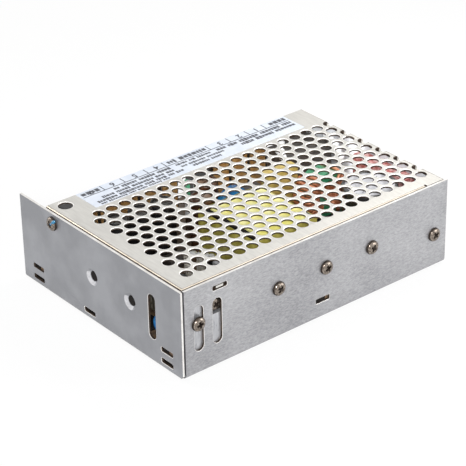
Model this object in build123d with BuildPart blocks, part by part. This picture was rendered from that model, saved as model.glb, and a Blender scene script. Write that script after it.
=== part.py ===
"""Enclosed switching power supply: a folded tray, a perforated cover and the parts that they hold.

Frame: millimetres, origin at the middle of the tray's underside, +X along the long front wall,
+Y towards the terminals, +Z up. The closed end plate is on -X.
"""

from build123d import *

import os

os.makedirs("parts", exist_ok=True)

# Case
case_length = 129.0
case_width = 98.0
case_height = 36.0
tray_sheet = 1.0
tray_bend = 1.0
end_bend = 0.3
cover_sheet = 0.8
cover_bend = 0.6
end_seam = 0.5
front_seam = 0.3
corner_gap = 0.5
corner_cut = 1.8
terminal_bay = 14.8
flange_depth_end = 9.5
flange_depth_front = 5.5
return_flange = 9.7
wall_foot = 0.3
cheek_inset = 1.8
cheek_height = 20.0

# Perforation of the cover
hole_size = 4.5
hole_pitch = 6.0
row_pitch = 5.1
hole_columns = 20
hole_rows = 12
hole_sides = 6
hole_depth = 1.8
first_hole_inset = 13.46
first_row_inset = 17.37
access_hole = 5.5
access_x_inset = 7.5
access_y_inset = 4.5

# Label on the cover
label_length = 102.9
label_width = 13.2
label_sheet = 0.15
label_x_inset = 15.2
label_y_inset = 0.2

# Screws of the case, and the sides of what is too small to need a true circle
small_sides = 8
screw_thread = 3.0
screw_clearance = 0.1
screw_head = 5.6
screw_head_height = 1.6
screw_crown = 0.9
screw_sides = 12
thread_sides = 6
cover_screw_reach = 5.0
cover_screw_y = 27.6
cover_screw_drop = 4.0
front_cover_screw_inset = 6.6
front_cover_screw_height = 14.7
device_screw_reach = 8.0
device_screw_height = 21.1
rectifier_screw_inset = 7.3
transistor_screw_insets = (44.3, 67.2, 89.9)
nut_size = 5.5
nut_height = 2.4

# Slots and mounting holes of the tray
slot_width = 4.2
slot_length = 18.4
slot_height = 18.9
front_slot_insets = (7.8, 16.1)
end_slot_inset = 17.0
tab_slot_width = 6.8
tab_slot_height = 2.0
back_tab_inset = 9.7
front_tab_inset = 8.85
air_slot_y = 6.6
air_slot_height = 3.35
front_tab_slot_x = 1.3
hook_slot_length = 6.6
hook_slot_height = 1.9
hook_slot_inset = 17.5
hook_slot_drop = 3.6
hook_width = 3.2
hook_recess = 0.2
dimple_spacing = 23.0
dimple_middle_y = -7.6
dimple_height = 19.4
dimple_mouth = 6.8
dimple_hole = 3.4
dimple_depth = 1.3
base_hole = 3.4
base_hole_spacing_x = 74.0
base_hole_spacing_y = 55.0

# Circuit board and what carries it
board_sheet = 1.6
board_rise = 6.2
board_end_gap = 0.6
board_front_gap = 1.6
board_tab_width = 6.0
board_tab_shift = 0.3
tab_recess = 0.8
standoff_size = 5.5
board_screw_reach = 5.0
film_sheet = 0.4
film_gap = 0.5
film_hole_margin = 1.5
film_flap_drop = 1.0
film_flap_inset = 4.0

# Terminal blocks
terminal_pitch = 9.5
terminal_wall = 1.5
terminal_depth = 15.5
terminal_height = 18.5
terminal_floor = 7.5
terminal_back_wall = 2.6
terminal_slope = 3.2
mains_ways = 3
output_ways = 4
mains_share = 0.434
output_share = -0.49
strip_sheet = 0.9
strip_bend = 0.6
strip_gap = 0.1
strip_side_gap = 0.3
strip_end_gap = 0.7
clamp_size = 6.8
clamp_sheet = 1.0
terminal_thread = 3.5
terminal_head = 5.8
terminal_head_height = 2.2
terminal_screw_inset = 6.2
terminal_screw_reach = 5.5

# Trimmer under the access hole
trimmer_size = 7.0
trimmer_height = 6.4
rotor_size = 4.0
rotor_clearance = 0.06
rotor_seat = 3.0
rotor_rise = 0.5
rotor_slot = 0.8

# Transformer
core_length = 29.0
core_width = 33.0
core_sheet = 1.4
core_rise = 4.0
core_drop = 3.7
core_leg = 8.0
wrap_sheet = 0.3
wrap_margin = 1.5
winding_drop = 2.2
winding_corner = 3.0
bobbin_sheet = 0.6
bobbin_foot = 3.2

# Chokes
choke_core_outer = 19.0
choke_core_inner = 11.0
choke_core_width = 8.0
choke_wire = 2.0
choke_gap = 0.1
choke_half_turn = 55.0
choke_base_height = 3.3
output_choke_outer = 16.0
output_choke_inner = 8.0
output_choke_width = 7.0
output_choke_wire = 2.0
output_choke_opening = 60.0
ring_sides = 16

# Round capacitors
bulk_size = 22.0
bulk_drop = 2.2
output_can_size = 10.0
output_can_drop = 6.0
output_can_pitch = 10.8
output_cans = 3
middle_can_size = 9.6
middle_can_drop = 3.0
lying_can_size = 8.0
lying_can_length = 8.0
can_rim = 0.8
can_rim_depth = 0.4
can_sides = 16

# Box and disc parts
x_box_length = 15.0
x_box_width = 5.5
x_box_drop = 3.2
red_box_length = 30.0
red_box_width = 5.5
red_box_drop = 2.2
green_box_length = 1.8
green_box_width = 2.4
green_box_drop = 3.2
relay_length = 22.0
relay_width = 15.0
relay_drop = 5.2
bridge_length = 15.0
bridge_width = 4.0
bridge_height = 15.0
chip_length = 9.6
chip_width = 6.4
chip_height = 3.4
box_corner = 0.6
disc_size = 14.0
disc_sheet = 6.5
disc_drop = 3.2
disc_round = 2.0
lead_size = 0.8
lead_spacing = 7.5

# Parts bolted to the front wall
pad_sheet = 0.3
pad_margin = 0.9
device_width = 10.2
device_body_depth = 3.2
device_tab_sheet = 1.3
device_body_drop = 3.8
device_tab_rise = 3.2
plate_sheet = 1.8
plate_reach = 28.5
plate_low = 21.4
plate_high = 29.5
plate_high_reach = 11.5
plate_slope = 2.5
fin_reach = 16.0

# Faces and levels that follow from the sizes above
left_face = -case_length / 2
right_face = case_length / 2
front_face = -case_width / 2
back_face = case_width / 2
wall_left = left_face + tray_sheet
wall_front = front_face + tray_sheet
cover_left = wall_left + end_seam
cover_front = wall_front + front_seam
cover_back = back_face - terminal_bay
cover_under = case_height - cover_sheet
cover_outer_bend = cover_bend + cover_sheet
cover_right_inside = right_face - cover_sheet
notch_x = right_face - return_flange
floor_right = cover_right_inside - front_seam
flap_outside = cover_right_inside - film_gap
flap_inside = flap_outside - film_sheet
board_bottom = tray_sheet + board_rise
board_top = board_bottom + board_sheet
board_middle = board_bottom + board_sheet / 2
board_left = wall_left + board_end_gap
board_right = flap_inside - film_gap
board_front = wall_front + board_front_gap
board_back = back_face - tray_sheet - board_end_gap
screw_hole = screw_thread + 2 * screw_clearance
terminal_hole = terminal_thread + 2 * screw_clearance
cover_screw_height = case_height - cover_screw_drop
front_cover_screw_x = right_face - front_cover_screw_inset
rectifier_x = left_face + rectifier_screw_inset
transistor_xs = [left_face + inset for inset in transistor_screw_insets]
hook_slot_x = left_face + hook_slot_inset
hook_slot_z = case_height - hook_slot_drop
tab_slot_ys = (back_face - back_tab_inset, front_face + front_tab_inset)
dimple_places = [(dimple_middle_y + side * dimple_spacing / 2, dimple_height) for side in (1, -1)]
sides = ((1, 1), (1, -1), (-1, 1), (-1, -1))
base_hole_places = [(x * base_hole_spacing_x / 2, y * base_hole_spacing_y / 2) for x, y in sides]

# Planes of the walls: their own x and y are the case's X or Y and its Z
end_outside = Plane.YZ.offset(left_face)
front_outside = Plane.XZ.offset(-front_face)
on_board_plane = Plane.XY.offset(board_top)


def small_hole(size, mode=Mode.ADD):
    """Outline of a small hole, with flat sides that clear a round of the given size."""
    return RegularPolygon(size / 2, small_sides, major_radius=False, mode=mode)


def on_board(along, across):
    """Point over the board, as shares of half the case's length and half its width."""
    return (along * case_length / 2, across * case_width / 2)


standoff_places = [
    on_board(-0.76, -0.66),
    on_board(0.88, -0.84),
    on_board(-0.88, 0.26),
    on_board(0.88, 0.76),
]
transformer_place = on_board(-0.042, -0.34)
choke_place = on_board(0.625, -0.08)
output_choke_place = on_board(-0.682, -0.327)
bulk_place = on_board(0.667, -0.59)
output_can_place = on_board(-0.49, 0.36)
middle_can_places = [on_board(-0.16, 0.135), on_board(-0.02, 0.32)]
lying_can_place = on_board(-0.873, -0.62)
x_box_place = on_board(0.426, 0.115)
red_box_place = on_board(0.906, -0.41)
green_box_place = on_board(-0.09, 0.44)
relay_place = on_board(0.76, 0.38)
bridge_place = on_board(0.25, 0.29)
chip_place = on_board(-0.37, 0.12)
disc_place = on_board(0.062, 0.133)
trimmer_place = (left_face + access_x_inset, cover_back - access_y_inset)
terminal_back = board_back - strip_side_gap
terminal_front = terminal_back - terminal_depth
terminal_cell_floor = board_top + terminal_floor
terminal_top = board_top + terminal_height
terminal_screw_y = terminal_back - terminal_screw_inset


def cell_xs(ways, share):
    """Middles of a terminal block's cells along the case."""
    middle = share * case_length / 2
    return [middle + (way - (ways - 1) / 2) * terminal_pitch for way in range(ways)]


mains_xs = cell_xs(mains_ways, mains_share)
output_xs = cell_xs(output_ways, output_share)
terminal_xs = output_xs + mains_xs


# Tray: floor, closed end plate and front wall, folded from one sheet
with BuildPart() as base_tray:
    with BuildSketch(Plane.YZ.offset(wall_left)):
        with BuildLine():
            outer_bend = tray_bend + tray_sheet
            Polyline(
                (front_face + outer_bend, 0),
                (back_face, 0),
                (back_face, tray_sheet),
                (front_face + outer_bend, tray_sheet),
            )
            RadiusArc((front_face + outer_bend, tray_sheet), (wall_front, outer_bend), tray_bend)
            Polyline(
                (wall_front, outer_bend),
                (wall_front, case_height),
                (front_face, case_height),
                (front_face, outer_bend),
            )
            RadiusArc((front_face, outer_bend), (front_face + outer_bend, 0), -outer_bend)
        make_face()
    extrude(amount=right_face - wall_left)
    with BuildSketch(Plane.XZ.offset(-front_face)):
        with BuildLine():
            end_outer = end_bend + tray_sheet
            Polyline(
                (left_face, end_outer),
                (left_face, case_height),
                (wall_left, case_height),
                (wall_left, end_outer),
            )
            RadiusArc((wall_left, end_outer), (left_face + end_outer, tray_sheet), -end_bend)
            Polyline((left_face + end_outer, tray_sheet), (left_face + end_outer, 0))
            RadiusArc((left_face + end_outer, 0), (left_face, end_outer), end_outer)
        make_face()
    extrude(amount=-case_width)
    # Open seam between the end plate and the front wall, and the cut corner under it
    with BuildSketch(front_outside):
        with Locations((wall_left, 0)):
            Rectangle(corner_gap, case_height, align=Align.MIN)
    extrude(amount=-outer_bend, mode=Mode.SUBTRACT)
    with BuildSketch(end_outside):
        with BuildLine():
            Polyline(
                (front_face, 0),
                (front_face + corner_cut, 0),
                (front_face, corner_cut),
                close=True,
            )
        make_face()
    extrude(amount=tray_sheet, mode=Mode.SUBTRACT)
    # Room for the cover's end wall beside the floor
    with BuildSketch(Plane.XY):
        with Locations((right_face, cover_front)):
            Rectangle(right_face - floor_right, case_width, align=(Align.MAX, Align.MIN))
    extrude(amount=case_height, mode=Mode.SUBTRACT)
    # Slots and the screw hole of the end plate
    with BuildSketch(end_outside):
        with Locations((front_face + end_slot_inset, slot_height)):
            SlotOverall(slot_length, slot_width, rotation=90)
        with Locations(*[(y, board_middle) for y in tab_slot_ys]):
            Rectangle(tab_slot_width, tab_slot_height)
        with Locations(*[(y, air_slot_height) for y in (*tab_slot_ys, air_slot_y)]):
            Rectangle(tab_slot_width, tab_slot_height)
        with Locations((cover_screw_y, cover_screw_height)):
            small_hole(screw_hole)
    extrude(amount=tray_sheet, mode=Mode.SUBTRACT)
    # Slots and screw holes of the front wall
    with BuildSketch(front_outside):
        with Locations(*[(left_face + inset, slot_height) for inset in front_slot_insets]):
            SlotOverall(slot_length, slot_width, rotation=90)
        with Locations((hook_slot_x, hook_slot_z)):
            Rectangle(hook_slot_length, hook_slot_height)
        with Locations((front_tab_slot_x, board_middle)):
            Rectangle(tab_slot_width, tab_slot_height)
        with Locations(*[(x, device_screw_height) for x in transistor_xs]):
            small_hole(screw_hole)
        with Locations((front_cover_screw_x, front_cover_screw_height)):
            small_hole(screw_hole)
    extrude(amount=-tray_sheet, mode=Mode.SUBTRACT)
    # Conical dimples pressed inwards, with a mounting hole at the bottom of each
    for place in dimple_places:
        with BuildSketch(Plane((wall_left, *place), x_dir=(1, 0, 0), z_dir=(0, -1, 0))):
            with BuildLine():
                Polyline(
                    (0, dimple_hole / 2),
                    (0, (dimple_mouth + tray_sheet) / 2),
                    (dimple_depth, dimple_hole / 2 + tray_sheet),
                    (dimple_depth, dimple_hole / 2),
                    close=True,
                )
            make_face()
        revolve(axis=Axis((wall_left, *place), (1, 0, 0)))
    for place in dimple_places:
        with Locations(Plane((left_face, *place), z_dir=(1, 0, 0))):
            Cone(
                dimple_mouth / 2,
                dimple_hole / 2,
                dimple_depth,
                align=(Align.CENTER, Align.CENTER, Align.MIN),
                mode=Mode.SUBTRACT,
            )
            Cylinder(
                dimple_hole / 2,
                dimple_depth + tray_sheet,
                align=(Align.CENTER, Align.CENTER, Align.MIN),
                mode=Mode.SUBTRACT,
            )
    # Mounting holes of the floor
    with BuildSketch(Plane.XY):
        with Locations(*base_hole_places):
            Circle(base_hole / 2)
    extrude(amount=tray_sheet, mode=Mode.SUBTRACT)
base_tray.part.label = "base_tray"
export_step(base_tray.part, "parts/base_tray.step")


# Space under the cover's panel, inside its bends
with BuildPart() as cover_hollow:
    with BuildSketch(Plane.XY.offset(cover_under)):
        with Locations((cover_left + cover_sheet, cover_front + cover_sheet)):
            Rectangle(case_length, case_width, align=Align.MIN)
    extrude(amount=-case_height)
    fillet(
        [
            cover_hollow.edges().filter_by(Axis.X).group_by(Axis.Z)[-1].sort_by(Axis.Y)[0],
            cover_hollow.edges().filter_by(Axis.Y).group_by(Axis.Z)[-1].sort_by(Axis.X)[0],
        ],
        radius=cover_bend,
    )


# Cover: perforated panel, end flange, front flange and far end wall, folded from one sheet
with BuildPart() as top_cover:
    with BuildSketch(Plane.XY.offset(case_height)):
        with Locations((cover_left, cover_front)):
            Rectangle(notch_x - cover_left, cover_back - cover_front, align=Align.MIN)
    extrude(amount=-flange_depth_end)
    fillet(
        [
            top_cover.edges().filter_by(Axis.X).group_by(Axis.Z)[-1].sort_by(Axis.Y)[0],
            top_cover.edges().filter_by(Axis.Y).group_by(Axis.Z)[-1].sort_by(Axis.X)[0],
        ],
        radius=cover_outer_bend,
    )
    add(cover_hollow.part, mode=Mode.SUBTRACT)
    # Shorter front flange, and the open corner between the two flanges
    with BuildSketch(Plane.XY.offset(case_height - flange_depth_end)):
        with Locations((cover_left + cover_outer_bend, cover_front)):
            Rectangle(case_length, cover_sheet, align=Align.MIN)
    extrude(amount=flange_depth_end - flange_depth_front, mode=Mode.SUBTRACT)
    with BuildSketch(Plane.XY.offset(case_height - flange_depth_end)):
        with Locations((cover_left, cover_front)):
            Rectangle(cover_outer_bend, cover_outer_bend, align=Align.MIN)
    extrude(amount=flange_depth_end - cover_outer_bend, mode=Mode.SUBTRACT)
    # Panel past the notch, with the bend down into the far end wall
    with BuildSketch(Plane.XZ.offset(-cover_front)):
        with BuildLine():
            Polyline(
                (right_face - cover_outer_bend, case_height),
                (notch_x, case_height),
                (notch_x, cover_under),
                (right_face - cover_outer_bend, cover_under),
            )
            RadiusArc(
                (right_face - cover_outer_bend, cover_under),
                (cover_right_inside, case_height - cover_outer_bend),
                cover_bend,
            )
            Polyline(
                (cover_right_inside, case_height - cover_outer_bend),
                (right_face, case_height - cover_outer_bend),
            )
            RadiusArc(
                (right_face, case_height - cover_outer_bend),
                (right_face - cover_outer_bend, case_height),
                -cover_outer_bend,
            )
        make_face()
    extrude(amount=-(cover_back - cover_front))
    # Far end wall, lower beside the terminals
    with BuildSketch(Plane.YZ.offset(cover_right_inside)):
        with BuildLine():
            Polyline(
                (cover_front + cover_outer_bend, wall_foot),
                (back_face - cheek_inset, wall_foot),
                (back_face - cheek_inset, cheek_height),
                (cover_back, case_height - cover_outer_bend),
                (cover_front + cover_outer_bend, case_height - cover_outer_bend),
                close=True,
            )
        make_face()
    extrude(amount=cover_sheet)
    # Return flange of the far end wall, behind the front wall
    with BuildSketch(Plane.XY.offset(wall_foot + tray_bend + tray_sheet)):
        with BuildLine():
            Polyline(
                (right_face - cover_outer_bend, cover_front + cover_sheet),
                (notch_x + cover_sheet, cover_front + cover_sheet),
                (notch_x + cover_sheet, cover_front),
                (right_face - cover_outer_bend, cover_front),
            )
            RadiusArc(
                (right_face - cover_outer_bend, cover_front),
                (right_face, cover_front + cover_outer_bend),
                -cover_outer_bend,
            )
            Polyline(
                (right_face, cover_front + cover_outer_bend),
                (cover_right_inside, cover_front + cover_outer_bend),
            )
            RadiusArc(
                (cover_right_inside, cover_front + cover_outer_bend),
                (right_face - cover_outer_bend, cover_front + cover_sheet),
                cover_bend,
            )
        make_face()
    extrude(amount=case_height - cover_outer_bend - tray_bend - tray_sheet - wall_foot)
    # Relief notch at the end of the front bend
    with BuildSketch(Plane.XY.offset(case_height)):
        with Locations((notch_x, cover_front)):
            Rectangle(cover_sheet, cover_outer_bend, align=(Align.CENTER, Align.MIN))
    extrude(amount=-flange_depth_front, mode=Mode.SUBTRACT)
    # Hook that reaches into the front wall's slot
    with BuildSketch(Plane.XY.offset(hook_slot_z - cover_sheet / 2)):
        with Locations((hook_slot_x, front_face + hook_recess)):
            Rectangle(
                hook_width,
                cover_front + cover_sheet - front_face - hook_recess,
                align=(Align.CENTER, Align.MIN),
            )
    extrude(amount=cover_sheet)
    # Staggered rows of holes: the last of each even row runs over the bend
    with BuildSketch(Plane.XY.offset(case_height)):
        for shift in (0, 1):
            row_start = (
                left_face + first_hole_inset - shift * hole_pitch / 2,
                cover_back - first_row_inset - shift * row_pitch,
            )
            with Locations(row_start):
                with Locations(
                    *[
                        (column * hole_pitch, -2 * row * row_pitch)
                        for row in range(hole_rows // 2)
                        for column in range(hole_columns)
                    ]
                ):
                    RegularPolygon(hole_size / 2, hole_sides)
    extrude(amount=-hole_depth, mode=Mode.SUBTRACT)
    # Screwdriver hole over the trimmer, and the two screw holes
    with BuildSketch(Plane.XY.offset(case_height)):
        with Locations(trimmer_place):
            Circle(access_hole / 2)
    extrude(amount=-cover_sheet, mode=Mode.SUBTRACT)
    with BuildSketch(Plane.YZ.offset(cover_left)):
        with Locations((cover_screw_y, cover_screw_height)):
            small_hole(screw_hole)
    extrude(amount=cover_sheet, mode=Mode.SUBTRACT)
    with BuildSketch(Plane.XZ.offset(-cover_front)):
        with Locations((front_cover_screw_x, front_cover_screw_height)):
            small_hole(screw_hole)
    extrude(amount=-cover_sheet, mode=Mode.SUBTRACT)
top_cover.part.label = "top_cover"
export_step(top_cover.part, "parts/top_cover.step")

with BuildPart() as rating_label:
    with BuildSketch(Plane.XY.offset(case_height)):
        with Locations((left_face + label_x_inset, cover_back - label_y_inset)):
            Rectangle(label_length, label_width, align=(Align.MIN, Align.MAX))
    extrude(amount=label_sheet)
rating_label.part.label = "rating_label"
export_step(rating_label.part, "parts/rating_label.step")


def pan_screw(head, head_height, head_sides, thread, reach):
    """Pan-head screw: its head stands on the XY plane, and its thread goes down."""
    with BuildPart() as screw:
        with BuildSketch(Plane.XY):
            RegularPolygon(head / 2, head_sides)
        extrude(amount=head_height)
        chamfer(screw.faces().sort_by(Axis.Z)[-1].edges(), length=screw_crown)
        with BuildSketch(Plane.XY):
            RegularPolygon(thread / 2, thread_sides)
        extrude(amount=-reach)
    return screw.part


cover_screw = pan_screw(screw_head, screw_head_height, screw_sides, screw_thread, cover_screw_reach)
device_screw = pan_screw(screw_head, screw_head_height, screw_sides, screw_thread, device_screw_reach)
board_screw = pan_screw(screw_head, screw_head_height, small_sides, screw_thread, board_screw_reach)
terminal_screw = pan_screw(
    terminal_head,
    terminal_head_height,
    small_sides,
    terminal_thread,
    terminal_screw_reach,
)

with BuildPart() as cover_screws:
    with Locations(
        Plane((left_face, cover_screw_y, cover_screw_height), z_dir=(-1, 0, 0)),
        Plane((front_cover_screw_x, front_face, front_cover_screw_height), z_dir=(0, -1, 0)),
    ):
        add(cover_screw)
cover_screws.part.label = "cover_screws"
export_step(cover_screws.part, "parts/cover_screws.step")

with BuildPart() as device_screws:
    for x in (rectifier_x, *transistor_xs):
        with Locations(Plane((x, front_face, device_screw_height), z_dir=(0, -1, 0))):
            add(device_screw)
device_screws.part.label = "device_screws"
export_step(device_screws.part, "parts/device_screws.step")


# Insulating film: over the floor, and up beside the far end wall
with BuildPart() as insulation_film:
    with BuildSketch(Plane.XY.offset(tray_sheet)):
        with Locations((board_left, board_front)):
            Rectangle(flap_outside - board_left, board_back - board_front, align=Align.MIN)
        film_opening = standoff_size + 2 * film_hole_margin
        with Locations(*standoff_places, *base_hole_places):
            Rectangle(film_opening, film_opening, mode=Mode.SUBTRACT)
    extrude(amount=film_sheet)
    with BuildSketch(Plane.YZ.offset(flap_inside)):
        with Locations((board_front + film_flap_inset, tray_sheet)):
            Rectangle(
                cover_back - film_flap_inset - board_front - film_flap_inset,
                cover_under - film_flap_drop - tray_sheet,
                align=Align.MIN,
            )
    extrude(amount=film_sheet)
insulation_film.part.label = "insulation_film"
export_step(insulation_film.part, "parts/insulation_film.step")

with BuildPart() as circuit_board:
    with BuildSketch(Plane.XY.offset(board_bottom)):
        with Locations((board_left, board_front)):
            Rectangle(board_right - board_left, board_back - board_front, align=Align.MIN)
        with Locations(*[(left_face + tab_recess, y - board_tab_shift) for y in tab_slot_ys]):
            Rectangle(
                board_left + board_sheet - left_face - tab_recess,
                board_tab_width,
                align=(Align.MIN, Align.CENTER),
            )
        with Locations((front_tab_slot_x, front_face + tab_recess)):
            Rectangle(
                board_tab_width,
                board_front + board_sheet - front_face - tab_recess,
                align=(Align.CENTER, Align.MIN),
            )
        with Locations(*standoff_places):
            small_hole(screw_hole, mode=Mode.SUBTRACT)
    extrude(amount=board_sheet)
circuit_board.part.label = "circuit_board"
export_step(circuit_board.part, "parts/circuit_board.step")

with BuildPart() as board_standoffs:
    with BuildSketch(Plane.XY.offset(tray_sheet)):
        with Locations(*standoff_places):
            RegularPolygon(standoff_size / 2, 6, major_radius=False)
    extrude(amount=board_rise)
    with BuildSketch(Plane.XY.offset(board_bottom)):
        with Locations(*standoff_places):
            small_hole(screw_hole)
    extrude(amount=-(board_screw_reach - board_sheet + screw_clearance), mode=Mode.SUBTRACT)
board_standoffs.part.label = "board_standoffs"
export_step(board_standoffs.part, "parts/board_standoffs.step")

with BuildPart() as board_screws:
    with Locations(*[(*place, board_top) for place in standoff_places]):
        add(board_screw)
board_screws.part.label = "board_screws"
export_step(board_screws.part, "parts/board_screws.step")


def mould_terminal_block(xs):
    """Block with a wire cell at each of the given middles, open at the back and the top."""
    block_left = xs[0] - (terminal_pitch + terminal_wall) / 2
    block_right = xs[-1] + (terminal_pitch + terminal_wall) / 2
    with BuildSketch(Plane.YZ.offset(block_left)) as outline:
        with BuildLine():
            Polyline(
                (terminal_front, board_top),
                (terminal_back, board_top),
                (terminal_back, terminal_top - terminal_slope),
                (terminal_back - terminal_slope, terminal_top),
                (terminal_front, terminal_top),
                close=True,
            )
        make_face()
    extrude(outline.sketch, amount=block_right - block_left)
    with BuildSketch(Plane.XY.offset(terminal_cell_floor)) as cells:
        with Locations(*[(x, terminal_front + terminal_back_wall) for x in xs]):
            Rectangle(terminal_pitch - terminal_wall, terminal_depth, align=(Align.CENTER, Align.MIN))
    extrude(cells.sketch, amount=terminal_height, mode=Mode.SUBTRACT)
    with BuildSketch(Plane.XY.offset(terminal_cell_floor)) as bores:
        with Locations(*[(x, terminal_screw_y) for x in xs]):
            small_hole(terminal_hole)
    extrude(bores.sketch, amount=-terminal_screw_reach, mode=Mode.SUBTRACT)


with BuildPart() as mains_terminal_block:
    mould_terminal_block(mains_xs)
mains_terminal_block.part.label = "mains_terminal_block"
export_step(mains_terminal_block.part, "parts/mains_terminal_block.step")

with BuildPart() as output_terminal_block:
    mould_terminal_block(output_xs)
output_terminal_block.part.label = "output_terminal_block"
export_step(output_terminal_block.part, "parts/output_terminal_block.step")

# Bent brass strips: up from the board, over the block's back wall and along the cell's floor
strip_outer_y = terminal_front - strip_gap
strip_inner_y = terminal_front + terminal_back_wall + strip_gap
strip_end_y = terminal_back - strip_end_gap
strip_over_z = terminal_top + strip_gap
with BuildPart() as terminal_strips:
    for x in terminal_xs:
        with BuildSketch(Plane.YZ.offset(x - (terminal_pitch - terminal_wall) / 2 + strip_side_gap)):
            with BuildLine():
                Polyline(
                    (strip_outer_y - strip_sheet, board_top),
                    (strip_outer_y, board_top),
                    (strip_outer_y, strip_over_z),
                    (strip_inner_y, strip_over_z),
                    (strip_inner_y, terminal_cell_floor),
                    (strip_end_y, terminal_cell_floor),
                    (strip_end_y, terminal_cell_floor + strip_sheet),
                    (strip_inner_y + strip_sheet, terminal_cell_floor + strip_sheet),
                    (strip_inner_y + strip_sheet, strip_over_z + strip_sheet - strip_bend),
                    (strip_inner_y + strip_sheet - strip_bend, strip_over_z + strip_sheet),
                    (strip_outer_y - strip_sheet + strip_bend, strip_over_z + strip_sheet),
                    (strip_outer_y - strip_sheet, strip_over_z + strip_sheet - strip_bend),
                    close=True,
                )
            make_face()
        extrude(amount=terminal_pitch - terminal_wall - 2 * strip_side_gap)
    with BuildSketch(Plane.XY.offset(terminal_cell_floor)):
        with Locations(*[(x, terminal_screw_y) for x in terminal_xs]):
            small_hole(terminal_hole)
    extrude(amount=strip_sheet, mode=Mode.SUBTRACT)
terminal_strips.part.label = "terminal_strips"
export_step(terminal_strips.part, "parts/terminal_strips.step")

with BuildPart() as terminal_clamps:
    with BuildSketch(Plane.XY.offset(terminal_cell_floor + strip_sheet)):
        with Locations(*[(x, terminal_screw_y) for x in terminal_xs]):
            Rectangle(clamp_size, clamp_size)
            small_hole(terminal_hole, mode=Mode.SUBTRACT)
    extrude(amount=clamp_sheet)
terminal_clamps.part.label = "terminal_clamps"
export_step(terminal_clamps.part, "parts/terminal_clamps.step")

with BuildPart() as terminal_screws:
    with Locations(
        *[(x, terminal_screw_y, terminal_cell_floor + strip_sheet + clamp_sheet) for x in terminal_xs]
    ):
        add(terminal_screw)
terminal_screws.part.label = "terminal_screws"
export_step(terminal_screws.part, "parts/terminal_screws.step")


def stand_box(place, length, width, height):
    """Moulded or dipped box with flats at its corners, standing on the board, in the block that is open."""
    with BuildSketch(on_board_plane) as outline:
        with Locations(place):
            Rectangle(length, width)
        chamfer(outline.vertices(), length=box_corner)
    extrude(outline.sketch, amount=height)


# Trimmer: a moulded body with a round seat, and the rotor that turns in it
rotor_foot = board_top + trimmer_height - rotor_seat
with BuildPart() as trimmer_body:
    stand_box(trimmer_place, trimmer_size, trimmer_size, trimmer_height)
    with BuildSketch(Plane.XY.offset(rotor_foot)):
        with Locations(trimmer_place):
            Circle(rotor_size / 2 + rotor_clearance)
    extrude(amount=trimmer_height, mode=Mode.SUBTRACT)
trimmer_body.part.label = "trimmer_body"
export_step(trimmer_body.part, "parts/trimmer_body.step")

with BuildPart() as trimmer_rotor:
    with BuildSketch(Plane.XY.offset(rotor_foot)):
        with Locations(trimmer_place):
            Circle(rotor_size / 2)
    extrude(amount=rotor_seat + rotor_rise)
    with BuildSketch(Plane.XY.offset(rotor_foot + rotor_seat + rotor_rise)):
        with Locations(trimmer_place):
            Rectangle(rotor_size, rotor_slot)
            with Locations((rotor_size / 4, 0)):
                Triangle(c=rotor_slot * 2, a=rotor_slot * 1.5, b=rotor_slot * 1.5, rotation=-90)
    extrude(amount=-rotor_slot, mode=Mode.SUBTRACT)
trimmer_rotor.part.label = "trimmer_rotor"
export_step(trimmer_rotor.part, "parts/trimmer_rotor.step")


# Transformer: a flat core taped round its sides, with the winding on its bobbin between the yokes
transformer_x, transformer_y = transformer_place
core_top = case_height - core_drop
core_bottom = board_top + core_rise
core_middle = (core_top + core_bottom) / 2
winding_top = case_height - winding_drop
bobbin_length = core_length - 2 * core_sheet
winding_length = bobbin_length - 2 * bobbin_sheet
winding_width = core_width - 2 * core_sheet - 2 * bobbin_sheet
with BuildPart() as transformer_core:
    with BuildSketch(Plane.XY.offset(core_bottom)):
        with Locations(transformer_place):
            Rectangle(core_length, core_width)
            Rectangle(core_length - 2 * core_sheet, core_width - 2 * core_sheet, mode=Mode.SUBTRACT)
    extrude(amount=core_top - core_bottom)
    with BuildSketch(Plane.YZ.offset(transformer_x - core_length / 2)):
        with Locations((transformer_y, core_middle)):
            Rectangle(core_leg, core_leg)
    extrude(amount=core_length)
transformer_core.part.label = "transformer_core"
export_step(transformer_core.part, "parts/transformer_core.step")

with BuildPart() as transformer_wrap:
    with BuildSketch(Plane.XY.offset(core_bottom + wrap_margin)):
        with Locations(transformer_place):
            Rectangle(core_length + 2 * wrap_sheet, core_width + 2 * wrap_sheet)
            Rectangle(core_length, core_width, mode=Mode.SUBTRACT)
    extrude(amount=core_top - core_bottom - wrap_margin)
transformer_wrap.part.label = "transformer_wrap"
export_step(transformer_wrap.part, "parts/transformer_wrap.step")

with BuildPart() as transformer_bobbin:
    with BuildSketch(Plane.YZ.offset(transformer_x - bobbin_length / 2)):
        with Locations((transformer_y, core_middle)):
            Rectangle(winding_width, core_top - core_bottom)
            Rectangle(core_leg + 2 * choke_gap, core_leg + 2 * choke_gap, mode=Mode.SUBTRACT)
    extrude(amount=bobbin_length)
    with BuildSketch(Plane.YZ.offset(transformer_x - winding_length / 2)):
        with Locations((transformer_y, core_middle)):
            Rectangle(winding_width, core_top)
            Rectangle(core_leg + 2 * bobbin_sheet, core_leg + 2 * bobbin_sheet, mode=Mode.SUBTRACT)
    extrude(amount=winding_length, mode=Mode.SUBTRACT)
    with BuildSketch(on_board_plane):
        with Locations(transformer_place):
            Rectangle(core_length, winding_width)
    extrude(amount=bobbin_foot)
    with BuildSketch(on_board_plane):
        for side in (1, -1):
            with Locations((transformer_x + side * (bobbin_length - bobbin_sheet) / 2, transformer_y)):
                Rectangle(bobbin_sheet, winding_width)
    extrude(amount=core_rise)
transformer_bobbin.part.label = "transformer_bobbin"
export_step(transformer_bobbin.part, "parts/transformer_bobbin.step")

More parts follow.
